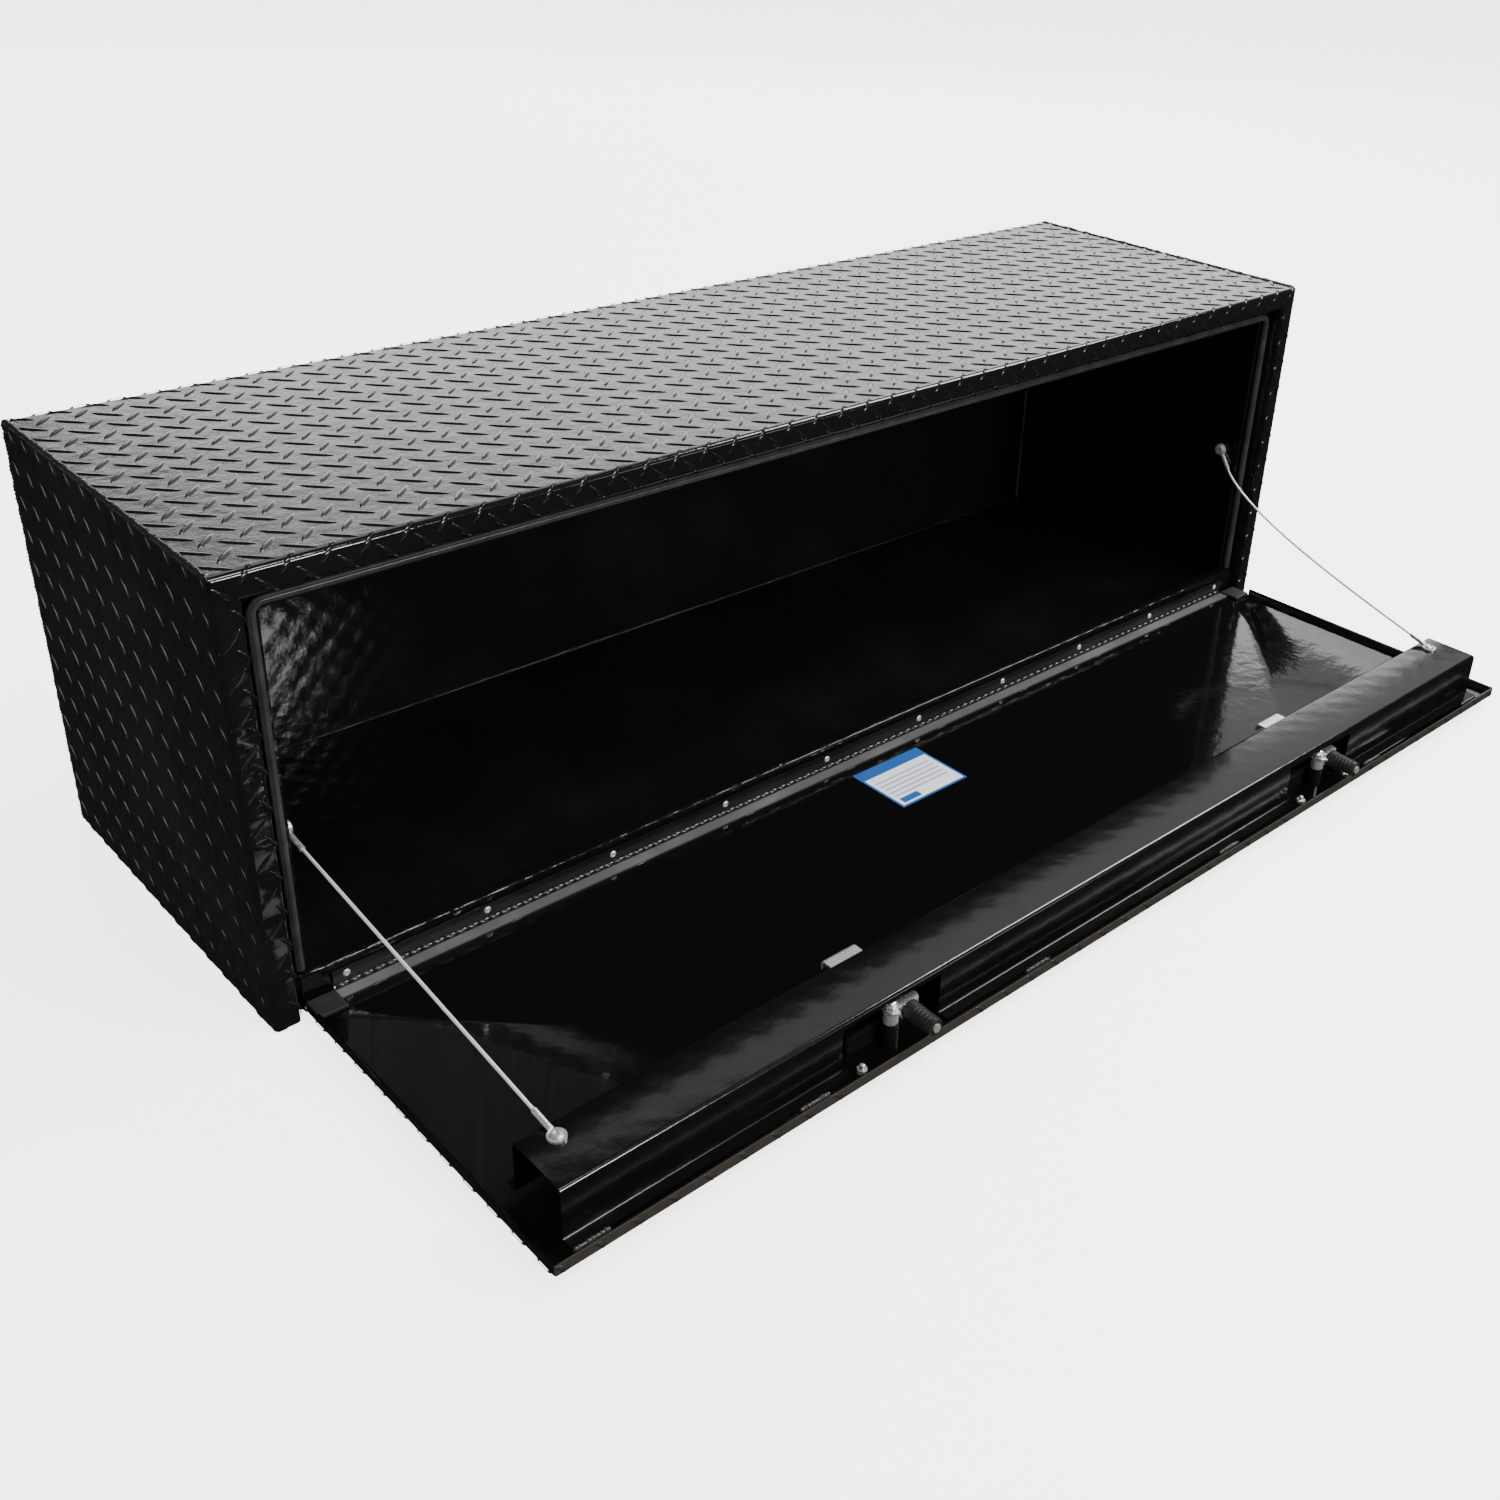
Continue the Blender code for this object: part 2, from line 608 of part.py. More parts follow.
def handle(side, hinge_pivot):
    """The folding T-handle: two ears on the pin, a short stem and the grip bar."""
    item = add("t_handle_" + side, block((-0.027, 0.036, -0.0030), (0.027, 0.048, 0.0024)),
               (BLACK, 0.35, 0.3), parent=hinge_pivot, smooth=40)
    stem = block((-0.0090, 0.0078, -0.0025), (0.0090, 0.040, 0.0020))
    ears = []
    for hand in (-1, 1):
        ends = sorted((hand * 0.0053, hand * 0.0090))
        ears.append(block((ends[0], 0.0, -0.0025), (ends[1], 0.010, 0.0020)))
        ears.append(rod((ends[0], 0.0, 0.0), (ends[1], 0.0, 0.0), 0.0029, 16))
    join(item, [stem] + ears)
    cut(item, [rod((-0.02, 0.0, 0.0), (0.02, 0.0, 0.0), 0.0018, 12)])


def latches(door):
    for side, sign in SIDES.items():
        x = sign * LATCH_X
        latch_dish(side, x, door)
        tie_bracket(side, x, door)
        turn_axis = empty("latch_axis_" + side, (x, -SHAFT_AT, 0.0), door)
        spindle(side, turn_axis)
        cam(side, turn_axis)
        fold_axis = empty("handle_axis_" + side, (0.0, 0.0, FACE - HANDLE_PIN_DROP), turn_axis)
        handle(side, fold_axis)


# -------------------------------------------------------------------- cables
def cable_ends(side):
    """The two eyes' centres, and the directions in which the cable leaves them."""
    sign = SIDES[side]
    upper = Vector((sign * ANCHOR_X, FRONT + ANCHOR_DEPTH, ANCHOR_HEIGHT[side]))
    lower = Vector((sign * EYE_X, AXIS_Y - EYE_AT, AXIS_Z + FACE + CHANNEL_TOP + GAP + EYE_THICK / 2))
    straight = (lower - upper).normalized()
    drop = Vector((0.0, 0.0, CABLE_SLACK[side] / 0.06))
    leave_upper = (straight - drop * 0.95).normalized()
    leave_lower = (-straight - drop * 0.17).normalized()
    return upper, lower, leave_upper, leave_lower


def cable_route(side, count=34):
    """A cubic curve between the ferrules; slack lets it hang below the straight line."""
    upper, lower, leave_upper, leave_lower = cable_ends(side)
    start = upper + leave_upper * (FERRULE_END + GAP)
    end = lower + leave_lower * (FERRULE_END + GAP)
    pull = (end - start).length / 3
    reach = pull - CABLE_SLACK[side]
    controls = (start, start + leave_upper * reach, end + leave_lower * pull, end)
    points = []
    for k in range(count):
        t = k / (count - 1)
        weights = ((1 - t) ** 3, 3 * t * (1 - t) ** 2, 3 * t * t * (1 - t), t ** 3)
        points.append(sum((c * w for c, w in zip(controls, weights)), Vector()))
    return points


def eye(name, centre, axis, leave, parent, offset):
    """A flat ring round a bolt, with the crimped ferrule that grips the cable."""
    half = EYE_THICK / 2
    profile = [(0.0036, -half), (EYE_RIM, -half), (EYE_RIM, half), (0.0036, half)]
    shape = ring_turned(profile, 20)
    turn = Vector(axis).to_track_quat("Z", "Y").to_matrix().to_4x4()
    bmesh.ops.transform(shape, matrix=Matrix.Translation(centre - offset) @ turn, verts=shape.verts)
    item = add(name, shape, (ZINC, 0.3, 1.0), parent=parent, smooth=40)
    start = centre - offset + leave * (EYE_RIM - 0.0007)
    join(item, [rod(start, centre - offset + leave * FERRULE_END, FERRULE_RADIUS, 14)])


def cables(door):
    for side, sign in SIDES.items():
        upper, lower, leave_upper, leave_lower = cable_ends(side)
        eye("cable_eye_upper_" + side, upper, (1, 0, 0), leave_upper, None, Vector())
        eye("cable_eye_lower_" + side, lower, (0, 0, 1), leave_lower, door, Vector(door.location))
        tube("cable_" + side, cable_route(side), CABLE_RADIUS, (ZINC, 0.4, 0.8), 2)

        top = FACE + CHANNEL_TOP + GAP + EYE_THICK + GAP
        profile = [(0.0029, FACE + 0.0480), (0.0029, top), (0.0060, top), (0.0060, top + 0.0020),
                   (0.0045, top + 0.0036), (0.0015, top + 0.0042)]
        item = add("door_bolt_" + side, turned(profile, 16), (ZINC, 0.3, 1.0), parent=door, smooth=40)
        item.location = (sign * EYE_X, -EYE_AT, 0.0)

        plate = ANCHOR_X + FERRULE_RADIUS + GAP
        height = ANCHOR_HEIGHT[side]
        back = FRONT + RECESS + SHEET + GAP
        path = [(LENGTH / 2 - FLANGE - 0.004, back), (plate, back), (plate, FRONT + ANCHOR_DEPTH + 0.014)]
        outline = [(sign * px, py) for px, py in folded([(-px, py) for px, py in path], SHEET)]
        outline = [(-px, py) for px, py in outline]
        bracket = prism(outline, lambda px, py, end: (px, py, height + (2 * end - 1) * 0.016))
        item = add("cable_bracket_" + side, bracket, (BLACK, 0.35, 0.0), smooth=40)
        centre = (FRONT + ANCHOR_DEPTH, height)
        cut(item, [rod((sign * 0.70, *centre), (sign * 0.75, *centre), 0.0033, 14)])

        inner = ANCHOR_X - EYE_THICK / 2 - GAP
        collar = EYE_THICK + 2 * GAP
        seat = plate - inner - GAP
        profile = [(0.0060, -0.0040), (0.0065, -0.0035), (0.0065, 0.0), (0.0029, 0.0), (0.0029, collar),
                   (0.0055, collar), (0.0055, seat), (0.0029, seat), (0.0029, 0.0120)]
        shape = turned(profile, 16)
        turn = Vector((sign, 0, 0)).to_track_quat("Z", "Y").to_matrix().to_4x4()
        bmesh.ops.transform(shape, matrix=turn, verts=shape.verts)
        item = add("cable_anchor_" + side, shape, (ZINC, 0.3, 1.0), smooth=40)
        item.location = (sign * inner, *centre)


def main():
    clear_scene()
    shell()
    frame()
    sill()
    seal()
    door = empty("door_axis", (0.0, AXIS_Y, AXIS_Z))
    hinge(door)
    door_skin(door)
    channel(door)
    door_trim(door)
    latches(door)
    cables(door)


main()
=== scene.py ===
# %% [markdown]
# # An underbody truck tool box
# A long box folded from black-coated aluminium tread plate. Its door drops
# down on a full-length hinge and hangs from two wire stays. Each step below
# says what a piece is on the real box, how it could be made and why this way
# was chosen. The solid model underneath is a fixed frame: every new piece is
# placed from its sizes, in metres, with +Z up and the mouth facing -Y.

# %% Load the solid model
import json
import math

import bmesh
import bpy
import numpy as np
from mathutils import Matrix, Vector

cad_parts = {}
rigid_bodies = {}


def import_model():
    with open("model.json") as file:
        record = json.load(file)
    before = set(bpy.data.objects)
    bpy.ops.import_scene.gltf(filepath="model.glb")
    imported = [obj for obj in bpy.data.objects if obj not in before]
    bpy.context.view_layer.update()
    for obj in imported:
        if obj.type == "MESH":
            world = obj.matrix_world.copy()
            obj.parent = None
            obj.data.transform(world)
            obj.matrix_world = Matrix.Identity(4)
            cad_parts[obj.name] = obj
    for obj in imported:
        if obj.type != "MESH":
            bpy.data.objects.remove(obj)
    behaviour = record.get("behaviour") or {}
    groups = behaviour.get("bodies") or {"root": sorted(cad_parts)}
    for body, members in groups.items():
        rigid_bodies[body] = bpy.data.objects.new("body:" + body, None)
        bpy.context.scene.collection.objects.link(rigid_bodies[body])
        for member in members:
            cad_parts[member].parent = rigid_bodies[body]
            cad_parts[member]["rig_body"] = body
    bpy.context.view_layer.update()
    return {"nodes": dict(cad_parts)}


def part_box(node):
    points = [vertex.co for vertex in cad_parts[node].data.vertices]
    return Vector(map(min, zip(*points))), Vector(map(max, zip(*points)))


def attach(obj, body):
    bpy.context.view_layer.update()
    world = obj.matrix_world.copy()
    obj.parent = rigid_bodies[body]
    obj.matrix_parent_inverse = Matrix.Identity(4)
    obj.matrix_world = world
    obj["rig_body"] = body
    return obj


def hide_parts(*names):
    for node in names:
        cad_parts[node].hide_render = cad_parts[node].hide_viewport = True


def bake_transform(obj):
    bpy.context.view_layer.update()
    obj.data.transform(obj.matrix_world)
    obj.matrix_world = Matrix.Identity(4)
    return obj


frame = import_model()

# %% [markdown]
# ## Sizes that the steps share
# The big sheets give the sizes. A node's box is read once, and the pieces
# that lie on it are worked out from that box. CELL is the pitch of the tread's
# pattern, and LATCH_X and LATCH_Y place the two latches' spindles.

# %% Sizes
LEFT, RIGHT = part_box("end_panel_left")[0].x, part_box("end_panel_right")[1].x
BACK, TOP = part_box("shell_wrap")[1].y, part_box("shell_wrap")[1].z
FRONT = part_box("frame_top_rail")[0].y
SHEET = 0.0025
FLANGE = 0.026
RECESS = 0.021
LIP = 0.020
HINGE_Y, HINGE_Z = FRONT + 0.0058, 0.016
DOOR_LOW, DOOR_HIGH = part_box("door_skin")
SIDES = {"left": -1.0, "right": 1.0}
CELL = 0.0362
LATCH_X = 0.350
LATCH_Y = HINGE_Y - 0.386
MERGE = 1e-6
print("body", round(RIGHT - LEFT, 4), "x", round(BACK - FRONT, 4), "x", round(TOP, 4), "m")

# %% [markdown]
# ## The camera
# The box is seen from its front left corner, from above. A camera could be
# aimed with a constraint, but three angles say the same in plain numbers:
# azimuth from +Y towards +X, elevation below the horizon, and a small roll.

# %% Camera
def aim(azimuth, elevation, roll):
    """The three camera axes: forward from the two angles, right and up turned about it by roll."""
    a, e, r = (math.radians(angle) for angle in (azimuth, elevation, roll))
    forward = Vector((math.sin(a) * math.cos(e), math.cos(a) * math.cos(e), -math.sin(e)))
    level = forward.cross(Vector((0, 0, 1))).normalized()
    above = level.cross(forward)
    right = level * math.cos(r) + above * math.sin(r)
    up = above * math.cos(r) - level * math.sin(r)
    return Matrix((right, up, -forward)).transposed()


camera_data = bpy.data.cameras.new("camera")
camera_data.lens = 39.27
camera_data.sensor_width = 36.0
camera_data.shift_x = -0.0631
camera_data.shift_y = -0.0645
camera = bpy.data.objects.new("camera", camera_data)
camera.matrix_world = (Matrix.Translation((-1.2040, -1.4070, 1.0227))
                       @ aim(44.117, 27.610, 2.706).to_4x4())
bpy.context.collection.objects.link(camera)
bpy.context.scene.camera = camera
print("camera", round(camera.location.length, 2), "m from the middle of the box's underside")

# %% [markdown]
# ## Meshes from arrays
# Most pieces are a grid of points: rows along one direction and columns along
# the other. The faces between them are always the same pattern of four
# indices, so one helper makes them for every piece. Another helper turns the
# arrays into an object, merges the points that coincide, such as those at a
# pole, and points the faces outwards.

# %% Mesh helpers
def quads(rows, columns, wrap_rows=False, wrap_columns=False):
    """Faces of a grid: point (i, j) joins (i, j+1), (i+1, j+1) and (i+1, j)."""
    i, j = np.meshgrid(np.arange(rows - (not wrap_rows)),
                       np.arange(columns - (not wrap_columns)), indexing="ij")
    i, j = i.ravel(), j.ravel()
    i2, j2 = (i + 1) % rows, (j + 1) % columns
    return np.stack([i * columns + j, i * columns + j2, i2 * columns + j2, i2 * columns + j], 1)


def piece(name, points, faces, finish, sharp=40, body=None, stands_for=()):
    """An object from points and faces, closed and facing outwards, riding on its body.
    Edges over `sharp` degrees stay crisp; it is shown instead of the nodes in `stands_for`."""
    mesh = bpy.data.meshes.new(name)
    mesh.from_pydata(np.asarray(points, float).reshape(-1, 3).tolist(), [],
                     [list(map(int, f)) for f in faces])
    work = bmesh.new()
    work.from_mesh(mesh)
    bmesh.ops.remove_doubles(work, verts=work.verts, dist=MERGE)
    bmesh.ops.dissolve_degenerate(work, edges=work.edges, dist=1e-7)
    bmesh.ops.recalc_face_normals(work, faces=work.faces)
    work.to_mesh(mesh)
    work.free()
    mesh.shade_smooth()
    mesh.set_sharp_from_angle(angle=math.radians(sharp))
    item = bpy.data.objects.new(name, mesh)
    bpy.context.collection.objects.link(item)
    mesh.materials.append(finish)
    if body is not None:
        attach(item, body)
    if stands_for:
        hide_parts(*stands_for)
    return item


def merged(parts):
    """Several (points, faces) pairs as one pair."""
    points, faces, count = [], [], 0
    for part_points, part_faces in parts:
        part_points = np.asarray(part_points, float).reshape(-1, 3)
        points.append(part_points)
        faces.extend((np.asarray(f) + count).tolist() for f in part_faces)
        count += len(part_points)
    return np.vstack(points), faces


# %% [markdown]
# ## Turned parts and tubes
# Bolts, rivets and sleeves are round: a profile of (radius, height) pairs
# turned about an axis. A wire or seal is a section carried along a line. Both
# are grids whose columns close on themselves, and whose ends are shut by
# drawing the last ring in to a point.

# %% Turned parts and tubes
def across(axis):
    """Two unit vectors square to an axis and to each other."""
    axis = np.asarray(axis, float) / np.linalg.norm(axis)
    other = np.array([0.0, 0.0, 1.0]) if abs(axis[2]) < 0.9 else np.array([0.0, 1.0, 0.0])
    first = np.cross(other, axis)
    first /= np.linalg.norm(first)
    return first, np.cross(axis, first)


def turned(profile, centre, axis, sides=24, ring=False, corners=0):
    """Point = centre + axis * height + radius * (cos, sin) round it.
    corners=6 makes the radius a hexagon's."""
    profile = np.asarray(profile, float)
    axis = np.asarray(axis, float) / np.linalg.norm(axis)
    first, second = across(axis)
    angle = 2 * np.pi * np.arange(sides) / sides
    reach = np.ones(sides)
    if corners:
        half = np.pi / corners
        reach = math.cos(half) / np.cos((angle % (2 * half)) - half)
    round_it = (np.cos(angle) * reach)[:, None] * first + (np.sin(angle) * reach)[:, None] * second
    points = (np.asarray(centre, float) + profile[:, None, 1:] * axis
              + profile[:, None, :1] * round_it[None])
    return points, quads(len(profile), sides, ring, True)


def frames_along(line):
    """Directions along a line, and two vectors square to it that don't twist on the way."""
    line = np.asarray(line, float)
    along = np.gradient(line, axis=0)
    along /= np.linalg.norm(along, axis=1)[:, None]
    first = np.zeros_like(line)
    first[0] = across(along[0])[0]
    for k in range(1, len(line)):
        first[k] = first[k - 1] - along[k] * (first[k - 1] @ along[k])
        first[k] /= np.linalg.norm(first[k])
    return along, first, np.cross(along, first)


def tube(line, section):
    """Point (i, k) = line i + section(i, k) in the plane square to the line there.
    Both ends are drawn in to a point."""
    line = np.asarray(line, float)
    _, first, second = frames_along(line)
    section = np.asarray(section, float)
    if section.ndim == 2:
        section = np.repeat(section[None], len(line), 0)
    rings = line[:, None] + section[..., :1] * first[:, None] + section[..., 1:] * second[:, None]
    start, end = (np.repeat(tip[:, None], rings.shape[1], 1) for tip in (line[:1], line[-1:]))
    rings = np.concatenate([start, rings, end])
    return rings, quads(len(rings), rings.shape[1], False, True)


def circle(radius, sides):
    """Point at angle a = radius * (cos a, sin a)."""
    angle = 2 * np.pi * np.arange(sides) / sides
    return np.stack([radius * np.cos(angle), radius * np.sin(angle)], 1)


def spaced(line, step):
    """The same line with points at even steps along it."""
    line = np.asarray(line, float)
    far = np.concatenate([[0.0], np.cumsum(np.linalg.norm(np.diff(line, axis=0), axis=1))])
    at = np.linspace(0.0, far[-1], max(2, int(round(far[-1] / step)) + 1))
    return np.stack([np.interp(at, far, line[:, c]) for c in range(line.shape[1])], 1)


# %% [markdown]
# ## Shader sums in plain Python
# A procedural finish is a sum over noise and position. Node by node that is
# hard to read, so a small class wraps a socket and overloads the operators:
# `1 - mask * 0.4` then adds its Math nodes by itself. Every other node comes
# from one method, which takes the node's type, its settings and its inputs.

# %% Shader helpers
class Wire:
    """A socket that can be used in sums."""

    def __init__(self, tree, socket):
        self.tree = tree
        self.socket = socket

    def maths(self, operation, *values, clamp=False):
        """One Math node with these values in its sockets."""
        node = self.tree.nodes.new("ShaderNodeMath")
        node.operation = operation
        node.use_clamp = clamp
        for slot, value in zip(node.inputs, values):
            plug(self.tree, slot, value)
        return Wire(self.tree, node.outputs[0])

    def __add__(self, other):
        return self.maths("ADD", self, other)

    def __sub__(self, other):
        return self.maths("SUBTRACT", self, other)

    def __rsub__(self, other):
        return self.maths("SUBTRACT", other, self)

    def __mul__(self, other):
        return self.maths("MULTIPLY", self, other)

    def __truediv__(self, other):
        return self.maths("DIVIDE", self, other)

    __radd__ = __add__
    __rmul__ = __mul__

    def above(self, edge, width):
        """0 below the edge, 1 above it, with a soft step of this width."""
        return ((self - edge) / width + 0.5).maths("ADD", (self - edge) / width + 0.5, 0.0, clamp=True)

    def inside(self, low, high, width):
        """1 between low and high, 0 outside."""
        return self.above(low, width) * (1 - self.above(high, width))


def plug(tree, slot, value):
    """A wire is linked to the socket; a plain number or colour is set on it."""
    if isinstance(value, Wire):
        tree.links.new(value.socket, slot)
    else:
        slot.default_value = value


class Finish:
    """A material whose shader sockets are set by name."""

    def __init__(self, name, **sockets):
        self.material = bpy.data.materials.new(name)
        self.material.use_nodes = True
        self.tree = self.material.node_tree
        self.shader = self.tree.nodes["Principled BSDF"]
        self.place = self.node("ShaderNodeTexCoord", output="Object")
        self.set(**sockets)

    def set(self, **sockets):
        """Plug a value or a wire into each shader socket, named as in base_color."""
        for name, value in sockets.items():
            label = name.replace("_", " ").title().replace("Ior", "IOR")
            plug(self.tree, self.shader.inputs[label], value)
        return self

    def node(self, kind, settings=None, inputs=None, output=0):
        """Any node: its settings first, then the values or wires of its sockets."""
        made = self.tree.nodes.new(kind)
        for name, value in (settings or {}).items():
            setattr(made, name, value)
        for name, value in (inputs or {}).items():
            plug(self.tree, made.inputs[name], value)
        return Wire(self.tree, made.outputs[output])

    def noise(self, scale, detail=2.0, roughness=0.5, stretch=None):
        """Noise on Object coordinates, between 0 and 1."""
        place = self.place
        if stretch is not None:
            place = self.node("ShaderNodeMapping", {}, {"Vector": self.place, "Scale": stretch})
        return self.node("ShaderNodeTexNoise", {}, {"Vector": place, "Scale": scale, "Detail": detail,
                                                    "Roughness": roughness})

    def axes(self):
        """X, Y and Z of the place on the object."""
        return [self.node("ShaderNodeSeparateXYZ", {}, {"Vector": self.place}, output=k)
                for k in range(3)]

    def blend(self, mask, low, high):
        """One colour where the mask is 0, the other where it is 1."""
        made = self.tree.nodes.new("ShaderNodeMix")
        made.data_type = "RGBA"
        plug(self.tree, made.inputs[0], mask)
        plug(self.tree, made.inputs[6], low if isinstance(low, Wire) else (*low, 1.0))
        plug(self.tree, made.inputs[7], high if isinstance(high, Wire) else (*high, 1.0))
        return Wire(self.tree, made.outputs[2])

    def press_marks(self, u, v):
        """The tread seen from its smooth side, peaking on every lug:
        cos(2 pi u / cell) * cos(2 pi v / cell)."""
        turn = 2 * math.pi / CELL
        return (u * turn).maths("COSINE", u * turn) * (v * turn).maths("COSINE", v * turn)

    def bump(self, height, distance, under=None):
        """A Bump node; `under` is a coarser bump that this one is laid over."""
        inputs = {"Height": height, "Distance": distance, "Strength": 1.0}
        if under is not None:
            inputs["Normal"] = under
        return self.node("ShaderNodeBump", {}, inputs)


def dress(finish, *nodes):
    """Give carried-over nodes of the solid model a finish."""
    for name in nodes:
        mesh = frame["nodes"][name].data
        mesh.materials.clear()
        mesh.materials.append(finish.material)


# %% [markdown]
# ## The finishes
# The box is powder coated: black plastic baked on to the sheet. Outside it is
# satin with a fine orange peel, inside it is glossier and shows the press
# marks of the tread as a soft mottle. A flat black would look like a hole, so
# each coat varies in gloss, carries a little dust and has two sizes of bump.

# %% Coated sheet
def grey(shade):
    """The same amount of red, green and blue."""
    return (shade,) * 3


def coat(name, colour, gloss, peel, mottle, dust):
    """Black powder coat: orange peel, a soft mottle, and patches of dust, greyer and duller."""
    made = Finish(name, metallic=0.0, ior=1.5, specular_ior_level=0.5)
    patches = made.noise(7.0, 4.0, 0.6)
    fine = made.noise(420.0, 2.0, 0.6)
    wide = made.noise(38.0, 3.0, 0.55)
    dusty = patches.above(0.56, 0.22) * dust
    lighter = tuple(c * 2.4 + 0.010 for c in colour)
    made.set(base_color=made.blend(dusty, colour, lighter),
             roughness=(wide - 0.5) * (gloss * 0.45) + gloss + dusty * 0.10 + (fine - 0.5) * 0.06)
    soft = made.bump(wide, mottle)
    made.set(normal=made.bump(fine, peel, soft))
    return made


CROWN = coat("tread_crown", grey(0.0055), 0.135, 0.00010, 0.0003, 0.12)
INSIDE = coat("inside_coat", grey(0.0030), 0.12, 0.00002, 0.0016, 0.05)
DOOR = coat("door_coat", grey(0.0028), 0.08, 0.00001, 0.00035, 0.05)
CHANNEL = coat("channel_coat", grey(0.0030), 0.15, 0.00003, 0.0006, 0.08)
LEAF = coat("hinge_coat", grey(0.0060), 0.20, 0.00005, 0.0003, 0.3)
FRAME = coat("frame_coat", grey(0.0045), 0.12, 0.00010, 0.0042, 0.1)
RAIL = coat("rail_coat", grey(0.0045), 0.09, 0.00005, 0.0005, 0.05)
DISH = coat("dish_coat", grey(0.0050), 0.20, 0.00004, 0.0002, 0.2)


def shell_coat(name, across_it, up_it):
    """Satin outside and glossy with press marks inside: a mask that is 1 within the walls
    mixes the two. across_it and up_it give the sheet's flat coordinates from x, y and z."""
    made = coat(name, grey(0.0048), 0.21, 0.00016, 0.0008, 0.2)
    x, y, z = made.axes()
    middle, soft = 0.0012, 0.0004
    within = (x.inside(LEFT + middle, RIGHT - middle, soft) * z.inside(middle, TOP - middle, soft)
              * (1 - y.above(BACK - middle, soft)))
    fine, wide = made.noise(420.0, 2.0, 0.6), made.noise(38.0, 3.0, 0.55)
    marks = made.press_marks(across_it(x, y, z), up_it(x, y, z))
    rough = made.bump(fine * (1 - within), 0.00016)
    outer = (fine - 0.5) * 0.06 + (wide - 0.5) * 0.09 + 0.21
    made.set(roughness=outer * (1 - within) + within * 0.10,
             normal=made.bump(marks * within * 0.085 + wide * (0.8 - within * 0.40), 0.001,
                              rough))
    return made


SHELL = shell_coat("shell_coat", lambda x, y, z: x, lambda x, y, z: y + z)
ENDS = shell_coat("end_coat", lambda x, y, z: y, lambda x, y, z: z)

# The stiles are crinkled by the press where the end sheets fold round.
FRAME.set(normal=FRAME.bump(FRAME.noise(26.0, 1.0, 0.3, (1.0, 1.0, 1.8)), 0.0042,
                            FRAME.bump(FRAME.noise(420.0, 2.0), 0.00008)))

# The channel's top shows the press marks too, and the door's rim is painted a lighter brownish grey: a
# painted reflection of the lit floor beside it.
x, y, z = CHANNEL.axes()
marks = CHANNEL.press_marks(x, y + 0.004) * 0.055
CHANNEL.set(normal=CHANNEL.bump(marks + CHANNEL.noise(38.0, 3.0) * 0.35, 0.001))
x, y, z = DOOR.axes()
floor_reflection_band = 1 - y.above(DOOR_LOW.y + 0.0016, 0.0010)
speckle = DOOR.noise(120.0, 4.0, 0.7)
DOOR.set(base_color=DOOR.blend(floor_reflection_band * (0.55 + speckle * 0.7), grey(0.0028), (0.034, 0.030, 0.024)),
         roughness=0.08 + floor_reflection_band * 0.30 + speckle * 0.02)
print("ten coats: eight plain and two that change between outside and inside")

# %% [markdown]
# ## Zinc, rubber and wire
# The latch parts and bolts are steel with bright zinc plate. It is a metal
# with small crystals, so its gloss changes from patch to patch and its colour
# drifts between blue and straw. Rubber is a dark rough dielectric.

# %% Metals and rubber
def zinc(name, colour, gloss, metallic=0.8):
    """Zinc plate: patches of gloss, a drift in colour and darker spots."""
    made = Finish(name, metallic=metallic)
    crystals = made.noise(900.0, 3.0, 0.6)
    drift = made.noise(60.0, 2.0)
    spots = made.noise(260.0, 4.0, 0.7).above(0.64, 0.10)
    tinted = made.blend(drift, colour, tuple(c * k for c, k in zip(colour, (1.0, 0.96, 0.86))))
    dark = tuple(0.35 * c for c in colour)
    made.set(base_color=made.blend(spots * 0.55, tinted, dark),
             roughness=gloss + (crystals - 0.5) * 0.30 + spots * 0.2,
             normal=made.bump(crystals, 0.00022))
    return made


def rubber(name, shade, gloss):
    """Moulded rubber: matte, with a fine grain and a greyer bloom."""
    made = Finish(name, metallic=0.0, ior=1.45)
    grain = made.noise(1500.0, 2.0)
    bloom = made.noise(45.0, 3.0).above(0.55, 0.3)
    made.set(base_color=made.blend(bloom * 0.5, grey(shade), grey(shade * 2.2)),
             roughness=gloss + (grain - 0.5) * 0.2, normal=made.bump(grain, 0.00008))
    return made


ZINC = zinc("zinc_plate", (0.86, 0.89, 0.91), 0.28, metallic=0.85)
BRIGHT = zinc("rivet_metal", grey(0.80), 0.42)
WIRE = zinc("wire_rope_metal", grey(0.84), 0.42, metallic=0.6)
SEAL = rubber("seal_rubber", 0.022, 0.28)
SLEEVE = rubber("sleeve_rubber", 0.010, 0.45)
print("three metals and two rubbers")

# %% [markdown]
# ## The wire stays
# Each stay is wire rope 3.2 mm thick, crimped into an eye at both ends. The
# left one is pulled straight by the door's weight and the right one hangs in
# a slack curve. A plain tube would look like a rod, so the section is six
# round strands, and it turns as it goes along. The stay joins the body to the
# door.

# %% Wire stays
STAY_THICK = 0.0032
GAP = 0.0003
FERRULE_END = 0.030
ANCHORS = {"left": 0.178, "right": 0.222}
SLACK = {"left": 0.0, "right": 0.055}


def stay_ends(side):
    """The eyes' centres and the directions in which the wire leaves them."""
    sign = SIDES[side]
    upper = Vector((sign * 0.7095, FRONT + 0.0461, ANCHORS[side]))
    lower = Vector((sign * 0.6788, HINGE_Y - 0.3395, HINGE_Z - 0.0058 + 0.057 + GAP + 0.0012))
    straight = (lower - upper).normalized()
    drop = Vector((0.0, 0.0, SLACK[side] / 0.06))
    return upper, lower, (straight - drop * 0.95).normalized(), (-straight - drop * 0.17).normalized()


